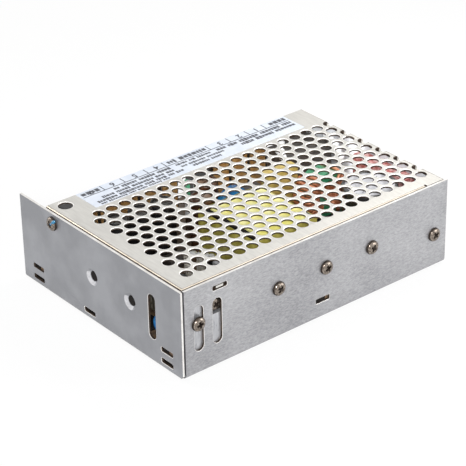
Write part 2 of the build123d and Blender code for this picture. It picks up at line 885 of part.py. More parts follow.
with BuildPart() as transformer_winding:
    with BuildSketch(Plane.YZ.offset(transformer_x - winding_length / 2)):
        with Locations((transformer_y, winding_top)):
            Rectangle(
                winding_width + bobbin_sheet,
                winding_top - board_top - bobbin_foot,
                align=(Align.CENTER, Align.MAX),
            )
    extrude(amount=winding_length)
    chamfer(transformer_winding.edges().filter_by(Axis.X), length=winding_corner)
    with BuildSketch(Plane.YZ.offset(transformer_x - winding_length / 2)):
        with Locations((transformer_y, core_middle)):
            Rectangle(core_leg + 2 * bobbin_sheet, core_leg + 2 * bobbin_sheet)
    extrude(amount=winding_length, mode=Mode.SUBTRACT)
transformer_winding.part.label = "transformer_winding"
export_step(transformer_winding.part, "parts/transformer_winding.step")


def ring_outline(outer, inner):
    """Ring with straight sides on the sketch that is open."""
    RegularPolygon(outer / 2, ring_sides, rotation=180 / ring_sides)
    RegularPolygon(inner / 2, ring_sides, rotation=180 / ring_sides, mode=Mode.SUBTRACT)


def ring_opening(size, angle, turn):
    """Wedge cut out of the ring on the open sketch, from its middle outwards in one direction."""
    arm = Vector(size, 0)
    with BuildLine() as wedge:
        Polyline(
            (0, 0),
            arm.rotate(Axis.Z, turn - angle / 2),
            arm.rotate(Axis.Z, turn + angle / 2),
            close=True,
        )
    make_face(wedge.edges(), mode=Mode.SUBTRACT)


# Filter choke: a ring core on edge over its base, with one winding on each side of it
choke_middle = (*choke_place, board_top + choke_base_height + choke_core_outer / 2)
choke_plane = Plane(choke_middle, x_dir=(1, 0, 0), z_dir=(0, -1, 0))
choke_build = choke_gap + choke_wire
with BuildPart() as choke_core:
    with BuildSketch(choke_plane):
        ring_outline(choke_core_outer, choke_core_inner)
    extrude(amount=choke_core_width / 2, both=True)
choke_core.part.label = "choke_core"
export_step(choke_core.part, "parts/choke_core.step")

with BuildPart() as choke_windings:
    with BuildSketch(choke_plane):
        ring_outline(choke_core_outer + 2 * choke_build, choke_core_inner - 2 * choke_build)
        for turn in (90, 270):
            ring_opening(2 * choke_core_outer, 180 - 2 * choke_half_turn, turn)
    extrude(amount=choke_core_width / 2 + choke_build, both=True)
    with BuildSketch(choke_plane):
        ring_outline(choke_core_outer + 2 * choke_gap, choke_core_inner - 2 * choke_gap)
    extrude(amount=choke_core_width / 2 + choke_gap, both=True, mode=Mode.SUBTRACT)
choke_windings.part.label = "choke_windings"
export_step(choke_windings.part, "parts/choke_windings.step")

with BuildPart() as choke_base:
    stand_box(choke_place, choke_core_outer, choke_core_width + 2 * choke_wire, choke_base_height)
choke_base.part.label = "choke_base"
export_step(choke_base.part, "parts/choke_base.step")

# Output choke: a ring core lying flat, wound nearly all round
output_choke_build = choke_gap + output_choke_wire
output_choke_middle = (*output_choke_place, board_top + output_choke_build + output_choke_width / 2)
output_choke_plane = Plane(output_choke_middle)
with BuildPart() as output_choke_core:
    with BuildSketch(output_choke_plane):
        ring_outline(output_choke_outer, output_choke_inner)
    extrude(amount=output_choke_width / 2, both=True)
output_choke_core.part.label = "output_choke_core"
export_step(output_choke_core.part, "parts/output_choke_core.step")

with BuildPart() as output_choke_winding:
    with BuildSketch(output_choke_plane):
        ring_outline(
            output_choke_outer + 2 * output_choke_build,
            output_choke_inner - 2 * output_choke_build,
        )
        ring_opening(2 * output_choke_outer, output_choke_opening, 0)
    extrude(amount=output_choke_width / 2 + output_choke_build, both=True)
    with BuildSketch(output_choke_plane):
        ring_outline(output_choke_outer + 2 * choke_gap, output_choke_inner - 2 * choke_gap)
    extrude(amount=output_choke_width / 2 + choke_gap, both=True, mode=Mode.SUBTRACT)
output_choke_winding.part.label = "output_choke_winding"
export_step(output_choke_winding.part, "parts/output_choke_winding.step")


def stand_cans(places, size, top):
    """Round cans that stand on the board, in the block that is open, with a rim round each top."""
    with BuildSketch(on_board_plane) as body:
        with Locations(*places):
            RegularPolygon(size / 2, can_sides)
    extrude(body.sketch, amount=top - board_top)
    with BuildSketch(Plane.XY.offset(top)) as top_face:
        with Locations(*places):
            RegularPolygon(size / 2 - can_rim, can_sides)
    extrude(top_face.sketch, amount=-can_rim_depth, mode=Mode.SUBTRACT)


bulk_top = case_height - bulk_drop
output_can_top = case_height - output_can_drop
middle_can_top = case_height - middle_can_drop
output_can_places = [
    (output_can_place[0] + (index - (output_cans - 1) / 2) * output_can_pitch, output_can_place[1])
    for index in range(output_cans)
]

with BuildPart() as bulk_capacitor:
    stand_cans([bulk_place], bulk_size, bulk_top)
bulk_capacitor.part.label = "bulk_capacitor"
export_step(bulk_capacitor.part, "parts/bulk_capacitor.step")

with BuildPart() as output_capacitors:
    stand_cans(output_can_places, output_can_size, output_can_top)
output_capacitors.part.label = "output_capacitors"
export_step(output_capacitors.part, "parts/output_capacitors.step")

with BuildPart() as brown_capacitors:
    stand_cans(middle_can_places, middle_can_size, middle_can_top)
brown_capacitors.part.label = "brown_capacitors"
export_step(brown_capacitors.part, "parts/brown_capacitors.step")

# Can that lies on one flat behind the end plate's slot, with its round end towards the slot
lying_can_x, lying_can_y = lying_can_place
with BuildPart() as blue_capacitor:
    with BuildSketch(Plane.YZ.offset(lying_can_x - lying_can_length / 2)):
        with Locations((lying_can_y, board_top + lying_can_size / 2)):
            RegularPolygon(
                lying_can_size / 2,
                can_sides,
                major_radius=False,
                rotation=180 / can_sides,
            )
    extrude(amount=lying_can_length)
blue_capacitor.part.label = "blue_capacitor"
export_step(blue_capacitor.part, "parts/blue_capacitor.step")


with BuildPart() as yellow_film_capacitor:
    stand_box(x_box_place, x_box_length, x_box_width, cover_under - x_box_drop - board_top)
yellow_film_capacitor.part.label = "yellow_film_capacitor"
export_step(yellow_film_capacitor.part, "parts/yellow_film_capacitor.step")

with BuildPart() as red_film_capacitor:
    stand_box(red_box_place, red_box_width, red_box_length, cover_under - red_box_drop - board_top)
red_film_capacitor.part.label = "red_film_capacitor"
export_step(red_film_capacitor.part, "parts/red_film_capacitor.step")

with BuildPart() as green_film_capacitor:
    stand_box(green_box_place, green_box_length, green_box_width, cover_under - green_box_drop - board_top)
green_film_capacitor.part.label = "green_film_capacitor"
export_step(green_film_capacitor.part, "parts/green_film_capacitor.step")

with BuildPart() as relay_case:
    stand_box(relay_place, relay_length, relay_width, cover_under - relay_drop - board_top)
relay_case.part.label = "relay_case"
export_step(relay_case.part, "parts/relay_case.step")

with BuildPart() as bridge_rectifier:
    stand_box(bridge_place, bridge_length, bridge_width, bridge_height)
bridge_rectifier.part.label = "bridge_rectifier"
export_step(bridge_rectifier.part, "parts/bridge_rectifier.step")

with BuildPart() as control_chip:
    stand_box(chip_place, chip_length, chip_width, chip_height)
control_chip.part.label = "control_chip"
export_step(control_chip.part, "parts/control_chip.step")

# Disc capacitor on two leads
disc_middle = cover_under - disc_drop - disc_size / 2
with BuildPart() as disc_capacitor:
    with BuildSketch(Plane.XZ.offset(-disc_place[1] - disc_sheet / 2)):
        with Locations((disc_place[0], disc_middle)):
            RegularPolygon(disc_size / 2, can_sides)
    extrude(amount=disc_sheet)
    chamfer(disc_capacitor.faces().filter_by(Axis.Y).edges(), length=disc_round)
    with BuildSketch(on_board_plane):
        with Locations(*[(disc_place[0] + side * lead_spacing / 2, disc_place[1]) for side in (1, -1)]):
            RegularPolygon(lead_size / 2, thread_sides)
    extrude(amount=disc_middle - board_top)
disc_capacitor.part.label = "disc_capacitor"
export_step(disc_capacitor.part, "parts/disc_capacitor.step")


# Power parts bolted to the front wall through thermal pads
device_tab_top = device_screw_height + device_tab_rise
device_body_top = device_screw_height - device_body_drop


def stamp_tabs(xs, back):
    """Metal tabs whose screws stand at the given places along the front wall, in the open block."""
    with BuildSketch(Plane.XZ.offset(-back)) as outline:
        with Locations(*[(x, board_top) for x in xs]):
            Rectangle(device_width, device_tab_top - board_top, align=(Align.CENTER, Align.MIN))
        with Locations(*[(x, device_screw_height) for x in xs]):
            small_hole(screw_hole, mode=Mode.SUBTRACT)
    extrude(outline.sketch, amount=-device_tab_sheet)


def mould_bodies(xs, back):
    """Moulded bodies on the lower half of the same tabs, in the open block."""
    with BuildSketch(Plane.XZ.offset(-back - device_tab_sheet)) as outline:
        with Locations(*[(x, board_top) for x in xs]):
            Rectangle(device_width, device_body_top - board_top, align=(Align.CENTER, Align.MIN))
    extrude(outline.sketch, amount=-device_body_depth)


transistor_back = wall_front + pad_sheet
rectifier_back = wall_front + plate_sheet
with BuildPart() as transistor_tabs:
    stamp_tabs(transistor_xs, transistor_back)
transistor_tabs.part.label = "transistor_tabs"
export_step(transistor_tabs.part, "parts/transistor_tabs.step")

with BuildPart() as transistor_bodies:
    mould_bodies(transistor_xs, transistor_back)
transistor_bodies.part.label = "transistor_bodies"
export_step(transistor_bodies.part, "parts/transistor_bodies.step")

with BuildPart() as rectifier_tab:
    stamp_tabs([rectifier_x], rectifier_back)
rectifier_tab.part.label = "rectifier_tab"
export_step(rectifier_tab.part, "parts/rectifier_tab.step")

with BuildPart() as rectifier_body:
    mould_bodies([rectifier_x], rectifier_back)
rectifier_body.part.label = "rectifier_body"
export_step(rectifier_body.part, "parts/rectifier_body.step")

with BuildPart() as thermal_pads:
    with BuildSketch(Plane.XZ.offset(-wall_front)):
        with Locations(*[(x, board_top) for x in transistor_xs]):
            Rectangle(
                device_width + 2 * pad_margin,
                device_tab_top + pad_margin - board_top,
                align=(Align.CENTER, Align.MIN),
            )
        with Locations(*[(x, device_screw_height) for x in transistor_xs]):
            small_hole(screw_hole, mode=Mode.SUBTRACT)
    extrude(amount=-pad_sheet)
thermal_pads.part.label = "thermal_pads"
export_step(thermal_pads.part, "parts/thermal_pads.step")

with BuildPart() as device_nuts:
    for x, back in [(x, transistor_back) for x in transistor_xs] + [(rectifier_x, rectifier_back)]:
        with BuildSketch(Plane.XZ.offset(-back - device_tab_sheet)):
            with Locations((x, device_screw_height)):
                RegularPolygon(nut_size / 2, 6, major_radius=False)
                small_hole(screw_hole, mode=Mode.SUBTRACT)
        extrude(amount=-nut_height)
device_nuts.part.label = "device_nuts"
export_step(device_nuts.part, "parts/device_nuts.step")

# Heat-spreading plate behind the two front slots, with a fin that runs back from it
plate_left = cover_left + cover_sheet + front_seam
with BuildPart() as heat_plate:
    with BuildSketch(Plane.XZ.offset(-wall_front)):
        with BuildLine():
            Polyline(
                (plate_left, board_top),
                (plate_left + plate_reach, board_top),
                (plate_left + plate_reach, plate_low),
                (plate_left + plate_high_reach, plate_low),
                (plate_left + plate_high_reach - plate_slope, plate_high),
                (plate_left, plate_high),
                close=True,
            )
        make_face()
        with Locations((rectifier_x, device_screw_height)):
            small_hole(screw_hole, mode=Mode.SUBTRACT)
    extrude(amount=-plate_sheet)
    with BuildSketch(on_board_plane):
        with Locations((plate_left + plate_reach, wall_front)):
            Rectangle(plate_sheet, plate_sheet + fin_reach, align=(Align.MAX, Align.MIN))
    extrude(amount=plate_high - board_top)
heat_plate.part.label = "heat_plate"
export_step(heat_plate.part, "parts/heat_plate.step")
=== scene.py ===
# %% [markdown]
# # An enclosed power supply
# The real thing is a flat metal box, 129 mm long: a folded aluminium tray, a perforated steel
# cover, and a crowded board of parts that shows through the holes. The solids of the CAD model
# come in as a fixed frame, and this lesson dresses them: it makes the finishes, and it models
# again what needs finer shapes than the solids have.

# %% Load the frame
import random
from math import pi, radians

import bmesh
import bpy
from mathutils import Matrix, Quaternion, Vector, noise


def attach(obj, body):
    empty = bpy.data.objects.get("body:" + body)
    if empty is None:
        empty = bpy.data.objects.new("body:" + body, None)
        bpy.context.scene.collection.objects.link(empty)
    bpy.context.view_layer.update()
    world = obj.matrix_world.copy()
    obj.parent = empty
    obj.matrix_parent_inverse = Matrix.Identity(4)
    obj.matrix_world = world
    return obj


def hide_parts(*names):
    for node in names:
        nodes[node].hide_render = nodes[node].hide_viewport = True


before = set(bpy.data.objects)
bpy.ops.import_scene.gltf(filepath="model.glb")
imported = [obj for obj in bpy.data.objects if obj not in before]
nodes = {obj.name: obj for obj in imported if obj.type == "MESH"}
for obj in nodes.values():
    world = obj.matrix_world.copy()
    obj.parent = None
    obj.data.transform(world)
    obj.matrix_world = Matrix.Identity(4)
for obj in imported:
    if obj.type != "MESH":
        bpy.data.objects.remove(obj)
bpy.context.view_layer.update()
print("solids in the frame:", len(nodes))

# %% [markdown]
# ## The camera
# A product shot from a little above one corner. Its place and its long lens were worked out from
# the corners of the box, so it looks at the box as the photographer did. The slight roll is in
# the original picture too. A track quaternion aims the camera, and a turn about its own axis
# gives the roll.

# %% Camera
MM = 0.001
camera_place = Vector((-416.4, -513.2, 382.6)) * MM
camera_aim = Vector((3.614, 5.743, 12.142)) * MM
camera_roll = radians(-1.064)
camera_data = bpy.data.cameras.new("camera")
camera_data.sensor_width = 36.0
camera_data.lens = 152.46
camera_data.clip_start = 0.05
camera_data.clip_end = 20.0
camera = bpy.data.objects.new("camera", camera_data)
camera.location = camera_place
camera.rotation_mode = "QUATERNION"
aimed = (camera_aim - camera_place).to_track_quat("-Z", "Y")
camera.rotation_quaternion = aimed @ Quaternion((0, 0, 1), camera_roll)
bpy.context.scene.collection.objects.link(camera)
bpy.context.scene.camera = camera
bpy.context.scene.view_settings.view_transform = "Standard"
print("camera distance in metres:", round((camera_aim - camera_place).length, 3))


# %% [markdown]
# ## Helpers for finishes
# Every finish here starts from one shader with its plain values on its own sockets. Detail then
# comes from noise that is read in object coordinates, so that it has a true size in millimetres
# and stays put when the object moves. Colours are written as seen on a screen, from 0 to 255,
# and turned into the linear values that the shader wants.

# %% Colour and material helpers
def seen(red, green, blue):
    """Linear colour for a colour as it is seen on a screen."""
    linear = []
    for value in (red, green, blue):
        share = value / 255
        linear.append(share / 12.92 if share <= 0.04045 else ((share + 0.055) / 1.055) ** 2.4)
    return (*linear, 1.0)


def start_material(name, colour, rough, metal=0.0, coat=0.0, specular=0.5):
    """Material with one shader; gives the material, its node tree and the shader."""
    material = bpy.data.materials.new(name)
    material.use_nodes = True
    tree = material.node_tree
    shader = tree.nodes["Principled BSDF"]
    shader.inputs["Base Color"].default_value = colour
    shader.inputs["Roughness"].default_value = rough
    shader.inputs["Metallic"].default_value = metal
    shader.inputs["Coat Weight"].default_value = coat
    shader.inputs["Specular IOR Level"].default_value = specular
    return material, tree, shader


def object_noise(tree, stretch, scale, detail=3.0, roughness=0.5, turn=(0.0, 0.0, 0.0)):
    """Noise in object coordinates: stretch is per axis, and scale is in waves per millimetre."""
    place = tree.nodes.new("ShaderNodeTexCoord")
    mapping = tree.nodes.new("ShaderNodeMapping")
    mapping.vector_type = "POINT"
    mapping.inputs["Rotation"].default_value = turn
    mapping.inputs["Scale"].default_value = [1000.0 * scale * s for s in stretch]
    waves = tree.nodes.new("ShaderNodeTexNoise")
    waves.inputs["Scale"].default_value = 1.0
    waves.inputs["Detail"].default_value = detail
    waves.inputs["Roughness"].default_value = roughness
    tree.links.new(place.outputs["Object"], mapping.inputs["Vector"])
    tree.links.new(mapping.outputs["Vector"], waves.inputs["Vector"])
    return waves.outputs["Fac"]


def between(tree, factor, low, high, a, b):
    """Maps a factor from low..high to a..b, with plain numbers."""
    ranged = tree.nodes.new("ShaderNodeMapRange")
    ranged.inputs["From Min"].default_value = low
    ranged.inputs["From Max"].default_value = high
    ranged.inputs["To Min"].default_value = a
    ranged.inputs["To Max"].default_value = b
    tree.links.new(factor, ranged.inputs["Value"])
    return ranged.outputs["Result"]


def colour_between(tree, factor, low, high, a, b):
    """Blends two colours as a factor goes from low to high."""
    ramp = tree.nodes.new("ShaderNodeValToRGB")
    ramp.color_ramp.elements[0].position = low
    ramp.color_ramp.elements[0].color = a
    ramp.color_ramp.elements[1].position = high
    ramp.color_ramp.elements[1].color = b
    tree.links.new(factor, ramp.inputs["Fac"])
    return ramp.outputs["Color"]


def add_bump(tree, shader, height, strength, depth):
    """Relief from a height: depth is in millimetres."""
    bump = tree.nodes.new("ShaderNodeBump")
    bump.inputs["Strength"].default_value = strength
    bump.inputs["Distance"].default_value = depth * MM
    tree.links.new(height, bump.inputs["Height"])
    tree.links.new(bump.outputs["Normal"], shader.inputs["Normal"])


def mottled(name, light, dark, rough, metal=0.0, size=3.0, grain=0.25, depth=0.02, coat=0.0, specular=0.5):
    """Finish with two near tones in soft patches, a fine grain, and roughness that varies a little."""
    material, tree, shader = start_material(name, light, rough, metal, coat, specular)
    patches = object_noise(tree, (1, 1, 1), 1.0 / size)
    tree.links.new(colour_between(tree, patches, 0.38, 0.66, dark, light), shader.inputs["Base Color"])
    varied = between(tree, patches, 0.3, 0.7, rough * 0.85, min(1.0, rough * 1.15))
    tree.links.new(varied, shader.inputs["Roughness"])
    fine = object_noise(tree, (1, 1, 1), 1.0 / grain, detail=2.0)
    add_bump(tree, shader, fine, 0.5, depth)
    return material


print("helpers ready")

# %% [markdown]
# ## Sheet metal
# The tray is aluminium sheet with the fine slanting lines that rolling leaves, and the cover is
# plated steel, smoother and warmer. On both, the lines are noise pulled long in one direction: it
# varies the colour a little, the roughness a little more, and gives a hair of relief. Rounded edges
# get a near-white finish, a painted highlight, and the cut walls of the holes a dark brown one,
# painted shade, so those get finishes of their own. Other finishes here are painted light and
# shade as well: a cream band and a grey line on the cover's bend, a darker copy of the tray metal
# for the end plate, and a brighter one for the lit side of each dimple.

# %% Metal finishes
def sheet_metal(name, light, dark, rough, metal, stretch, turn, depth, lines_size=4.0):
    """Rolled sheet: long fine lines over soft clouds."""
    material, tree, shader = start_material(name, light, rough, metal)
    lines = object_noise(tree, stretch, lines_size, detail=4.0, roughness=0.6, turn=turn)
    clouds = object_noise(tree, (1, 1, 1), 0.03, detail=2.0)
    mixed = tree.nodes.new("ShaderNodeMath")
    mixed.operation = "MULTIPLY_ADD"
    mixed.inputs[1].default_value = 0.35
    tree.links.new(clouds, mixed.inputs[0])
    tree.links.new(between(tree, lines, 0.0, 1.0, 0.0, 0.65), mixed.inputs[2])
    toned = colour_between(tree, mixed.outputs["Value"], 0.3, 0.7, dark, light)
    tree.links.new(toned, shader.inputs["Base Color"])
    tree.links.new(between(tree, lines, 0.25, 0.75, rough * 0.8, rough * 1.2), shader.inputs["Roughness"])
    add_bump(tree, shader, lines, 0.35, depth)
    return material


slanted = (0, radians(-12), 0)
level = (0, 0, 0)
tray_metal = sheet_metal(
    "tray_metal", seen(186, 186, 188), seen(128, 128, 132), 0.42, 0.65,
    stretch=(0.35, 0.35, 1.0), turn=slanted, depth=0.03, lines_size=2.6,
)
cover_metal = sheet_metal(
    "cover_metal", seen(212, 210, 205), seen(190, 188, 183), 0.42, 0.55,
    stretch=(1.0, 0.12, 1.0), turn=level, depth=0.006, lines_size=1.2,
)
plate_metal = sheet_metal(
    "plate_metal", seen(200, 201, 204), seen(140, 141, 145), 0.3, 0.6,
    stretch=(1.0, 1.0, 0.15), turn=level, depth=0.006, lines_size=1.0,
)
# Near-white finish for the rounded rims of the cover: a painted highlight.
highlight_edge_metal = mottled("highlight_edge_metal", seen(254, 253, 251), seen(246, 244, 241), 0.3, 0.4, size=4.0, depth=0.002)
# Grey finish for the nearly level facets where the cover's bend starts: painted shade.
bend_shade_line_metal = mottled("bend_shade_line_metal", seen(170, 164, 158), seen(150, 144, 138), 0.4, 0.5, size=3.0, depth=0.004)
# Dark brown finish for the cut walls of holes and slots, the seam and the hidden flange: painted shade.
shade_edge_metal = mottled(
    "shade_edge_metal", seen(92, 78, 68), seen(58, 48, 42), 0.5, 0.4, size=1.2, depth=0.01, specular=0.2
)
# Near-white finish for the tray's rounds and rims: a painted highlight.
tray_highlight_edge = mottled("tray_highlight_edge", seen(234, 232, 229), seen(214, 211, 207), 0.36, 0.4, size=4.0, depth=0.003)
# Brighter finish for the side of each dimple's cone that faces the light: a painted highlight.
cone_highlight_metal = mottled("cone_highlight_metal", seen(196, 196, 199), seen(178, 178, 181), 0.5, 0.1, size=2.0, depth=0.004)
# Cream finish for the middle facets of the cover's bend: a painted highlight.
bend_highlight_metal = mottled("bend_highlight_metal", seen(236, 226, 208), seen(220, 208, 188), 0.34, 0.5, size=5.0, depth=0.004)
# Darker copy of the tray metal for the end plate: painted shade.
end_plate_shade_metal = mottled(
    "end_plate_shade_metal", seen(156, 157, 161), seen(140, 141, 145), 0.45, 0.7, size=12.0, grain=0.5, depth=0.004
)
screw_metal = mottled("screw_metal", seen(160, 149, 138), seen(92, 82, 74), 0.26, 0.85, size=0.7, depth=0.015)
dark_steel = mottled("dark_steel", seen(84, 76, 70), seen(56, 50, 46), 0.4, 0.6, size=1.0, depth=0.01)
# Dark finish for screw recesses and side walls, and for the scores of the cans: painted shade.
screw_shade = mottled("screw_shade", seen(66, 56, 48), seen(38, 30, 26), 0.45, 0.5, size=0.6, depth=0.01)
strip_metal = mottled(
    "strip_metal", seen(250, 206, 142), seen(226, 168, 100), 0.34, 0.15, size=1.5, depth=0.01
)
tab_metal = mottled("tab_metal", seen(216, 216, 216), seen(190, 190, 190), 0.32, 0.5, size=1.2, depth=0.01)
can_metal = mottled("can_metal", seen(214, 215, 220), seen(184, 185, 190), 0.3, 0.2, size=2.5, depth=0.01)
brass = mottled("brass", seen(214, 186, 110), seen(190, 158, 84), 0.3, 0.9, size=1.0, depth=0.01)
print("metal finishes:", len(bpy.data.materials))

# %% [markdown]
# ## Plastics, tape, board and cores
# Moulded plastic has a faint leathery grain, tape and shrunk sleeves are glossy with soft
# wrinkles, and ferrite is dull and speckled. Each takes the same recipe with its own two tones,
# patch size and gloss.

# %% Other finishes
label_paper = mottled(
    "label_paper", seen(224, 230, 240), seen(212, 220, 233), 0.35, size=6.0, grain=0.6, depth=0.004, coat=0.2
)
print_grey = mottled("print_grey", seen(84, 86, 94), seen(64, 66, 74), 0.5, size=0.6, depth=0.002)
# Brown of the board, made darker than its own tone to stand for the shade inside the box: painted shade.
board_tan = mottled("board_tan", seen(112, 90, 66), seen(78, 61, 45), 0.55, size=2.5)
# Near-black finish for the patches put where there is only shade: painted shade.
shade_black = mottled("shade_black", seen(34, 31, 29), seen(22, 20, 19), 0.7, size=2.0, specular=0.1)
moulded_black = mottled("moulded_black", seen(58, 56, 55), seen(40, 39, 39), 0.42, size=2.0, grain=0.15)
case_black = mottled("case_black", seen(92, 86, 82), seen(66, 61, 58), 0.45, size=2.5, grain=0.2)
trimmer_blue = mottled("trimmer_blue", seen(60, 92, 160), seen(46, 76, 140), 0.4, size=1.5)
rotor_white = mottled("rotor_white", seen(236, 232, 222), seen(222, 218, 206), 0.4, size=1.0)
ferrite = mottled("ferrite", seen(58, 56, 54), seen(36, 35, 34), 0.6, size=0.6, grain=0.1, depth=0.03)
# Darker, greener copy of the yellow tape for the wrap, whose sides lie in shade: painted shade.
tape_shade_olive = mottled("tape_shade_olive", seen(214, 202, 106), seen(182, 170, 78), 0.22, size=3.0, coat=0.5)
tape_yellow = mottled(
    "tape_yellow", seen(255, 252, 176), seen(246, 238, 128), 0.16, size=4.0, grain=1.6, depth=0.2, coat=0.7
)
core_green = mottled("core_green", seen(76, 168, 124), seen(50, 132, 92), 0.35, size=1.5, coat=0.3)
core_grey = mottled("core_grey", seen(78, 78, 80), seen(54, 54, 56), 0.45, size=1.5)
copper_wire = mottled("copper_wire", seen(240, 168, 130), seen(202, 122, 84), 0.24, 0.25, size=1.2, coat=0.4)
dark_wire = mottled("dark_wire", seen(134, 130, 116), seen(84, 80, 68), 0.3, 0.2, size=1.2, coat=0.4)
sleeve_black = mottled("sleeve_black", seen(50, 49, 50), seen(32, 31, 32), 0.22, size=4.0, coat=0.4)
sleeve_grey = mottled("sleeve_grey", seen(104, 102, 100), seen(84, 82, 81), 0.3, size=3.0, coat=0.3)
sleeve_brown = mottled("sleeve_brown", seen(104, 70, 48), seen(66, 42, 28), 0.25, size=4.0, coat=0.3)
top_brown = mottled("top_brown", seen(184, 152, 128), seen(148, 120, 100), 0.3, size=3.0, coat=0.3)
sleeve_blue = mottled("sleeve_blue", seen(70, 150, 216), seen(46, 118, 188), 0.25, size=4.0, coat=0.3)
case_yellow = mottled("case_yellow", seen(222, 200, 122), seen(196, 172, 92), 0.35, size=3.0)
dip_red = mottled(
    "dip_red", seen(240, 196, 192), seen(180, 96, 92), 0.16, size=1.8, grain=1.2, depth=0.15, coat=0.7
)
dip_blue = mottled("dip_blue", seen(10, 122, 184), seen(6, 92, 152), 0.25, size=2.5, coat=0.15, specular=0.3)
paint_blue = mottled("paint_blue", seen(36, 134, 176), seen(22, 108, 150), 0.3, size=0.6, coat=0.5)
resistor_pale = mottled("resistor_pale", seen(246, 243, 236), seen(216, 210, 198), 0.35, size=1.2, coat=0.3)
pad_grey = mottled("pad_grey", seen(176, 174, 168), seen(156, 154, 148), 0.7, size=2.0)
glue_white = mottled("glue_white", seen(252, 253, 254), seen(244, 246, 248), 0.3, size=1.5, coat=0.3)
print("finishes:", len(bpy.data.materials))

# %% [markdown]
# The insulation film is painted milky and bluish at the right end, a painted light for the light
# that reaches it there, and dark at the left, painted shade. One ramp along X, read from the
# object coordinates, blends the two over the length of the box, and soft patches break it up.

# %% Insulation film
film_white, film_tree, film_shader = start_material("film_white", seen(240, 245, 252), 0.3, coat=0.2)
film_place = film_tree.nodes.new("ShaderNodeTexCoord")
film_split = film_tree.nodes.new("ShaderNodeSeparateXYZ")
film_tree.links.new(film_place.outputs["Object"], film_split.inputs["Vector"])
along = between(film_tree, film_split.outputs["X"], -0.058, 0.045, 0.0, 0.9)
uneven = film_tree.nodes.new("ShaderNodeMath")
uneven.operation = "MULTIPLY_ADD"
uneven.inputs[1].default_value = 0.12
film_tree.links.new(object_noise(film_tree, (1, 1, 1), 0.2), uneven.inputs[0])
film_tree.links.new(along, uneven.inputs[2])
# Dark tone at the left is painted shade, milky tone at the right painted light.
film_shade_tone, film_light_tone = seen(50, 46, 44), seen(246, 250, 255)
film_tone = colour_between(film_tree, uneven.outputs["Value"], 0.05, 0.95, film_shade_tone, film_light_tone)
film_tree.links.new(film_tone, film_shader.inputs["Base Color"])
print("film runs from dark to milky")

# %% [markdown]
# A thin part with a sleeved lead stands in the middle of the row behind the label. It is mint
# green at the top, white below, and dark at its foot. A ramp with hard steps along Z gives that.

# %% Sleeved lead
dip_green, lead_tree, lead_shader = start_material("dip_green", seen(120, 226, 172), 0.25, coat=0.3)
lead_place = lead_tree.nodes.new("ShaderNodeTexCoord")
lead_split = lead_tree.nodes.new("ShaderNodeSeparateXYZ")
lead_tree.links.new(lead_place.outputs["Object"], lead_split.inputs["Vector"])
height = between(lead_tree, lead_split.outputs["Z"], 0.0088, 0.032, 0.0, 1.0)
lead_ramp = lead_tree.nodes.new("ShaderNodeValToRGB")
lead_ramp.color_ramp.interpolation = "CONSTANT"
lead_ramp.color_ramp.elements[0].color = seen(70, 54, 44)
lead_ramp.color_ramp.elements[1].position = 0.64
lead_ramp.color_ramp.elements[1].color = seen(130, 232, 180)
middle_step = lead_ramp.color_ramp.elements.new(0.32)
middle_step.color = seen(246, 248, 250)
lead_tree.links.new(height, lead_ramp.inputs["Fac"])
lead_tree.links.new(lead_ramp.outputs["Color"], lead_shader.inputs["Base Color"])
add_bump(lead_tree, lead_shader, object_noise(lead_tree, (1, 1, 1), 2.0), 0.4, 0.03)
print("steps of the lead:", len(lead_ramp.color_ramp.elements))

# %% Give each solid its finish
finishes = {
    "base_tray": tray_metal,
    "top_cover": cover_metal,
    "rating_label": label_paper,
    "cover_screws": screw_metal,
    "device_screws": screw_metal,
    "insulation_film": film_white,
    "circuit_board": board_tan,
    "board_standoffs": brass,
    "board_screws": screw_metal,
    "mains_terminal_block": moulded_black,
    "output_terminal_block": moulded_black,
    "terminal_strips": strip_metal,
    "terminal_clamps": tab_metal,
    "terminal_screws": screw_metal,
    "trimmer_body": trimmer_blue,
    "trimmer_rotor": rotor_white,
    "transformer_core": ferrite,
    "transformer_wrap": tape_shade_olive,
    "transformer_bobbin": moulded_black,
    "transformer_winding": tape_yellow,
    "choke_core": core_green,
    "choke_windings": copper_wire,
    "choke_base": moulded_black,
    "output_choke_core": core_grey,
    "output_choke_winding": dark_wire,
    "bulk_capacitor": sleeve_black,
    "output_capacitors": sleeve_black,
    "brown_capacitors": sleeve_brown,
    "blue_capacitor": sleeve_blue,
    "yellow_film_capacitor": case_yellow,
    "red_film_capacitor": dip_red,
    "green_film_capacitor": dip_green,
    "relay_case": case_black,
    "bridge_rectifier": case_black,
    "control_chip": case_black,
    "disc_capacitor": dip_blue,
    "transistor_tabs": tab_metal,
    "transistor_bodies": case_black,
    "rectifier_tab": tab_metal,
    "rectifier_body": case_black,
    "thermal_pads": pad_grey,
    "device_nuts": screw_metal,
    "heat_plate": plate_metal,
}
for name, material in finishes.items():
    slots = nodes[name].data.materials
    slots.clear()
    slots.append(material)
print("solids without a finish:", sorted(set(nodes) - set(finishes)))


# %% [markdown]
# ## Helpers for shapes
# New pieces are made as a bmesh, and put into the scene at the origin, with their place in their
# mesh. A piece that starts from a solid takes a copy of its mesh, with its doubled corners merged
# and its flat triangles joined into whole faces, and then gets its sharp edges rounded: real
# sheet has no knife edges, and the small rounds catch the light. A rounded edge takes the bright
# edge finish, a painted highlight.

# %% Shape helpers
def put(name, bm, materials, body="case"):
    """Makes an object of a bmesh, and lets it ride on a body."""
    mesh = bpy.data.meshes.new(name)
    bm.to_mesh(mesh)
    bm.free()
    piece = bpy.data.objects.new(name, mesh)
    bpy.context.scene.collection.objects.link(piece)
    for material in materials:
        mesh.materials.append(material)
    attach(piece, body)
    return piece


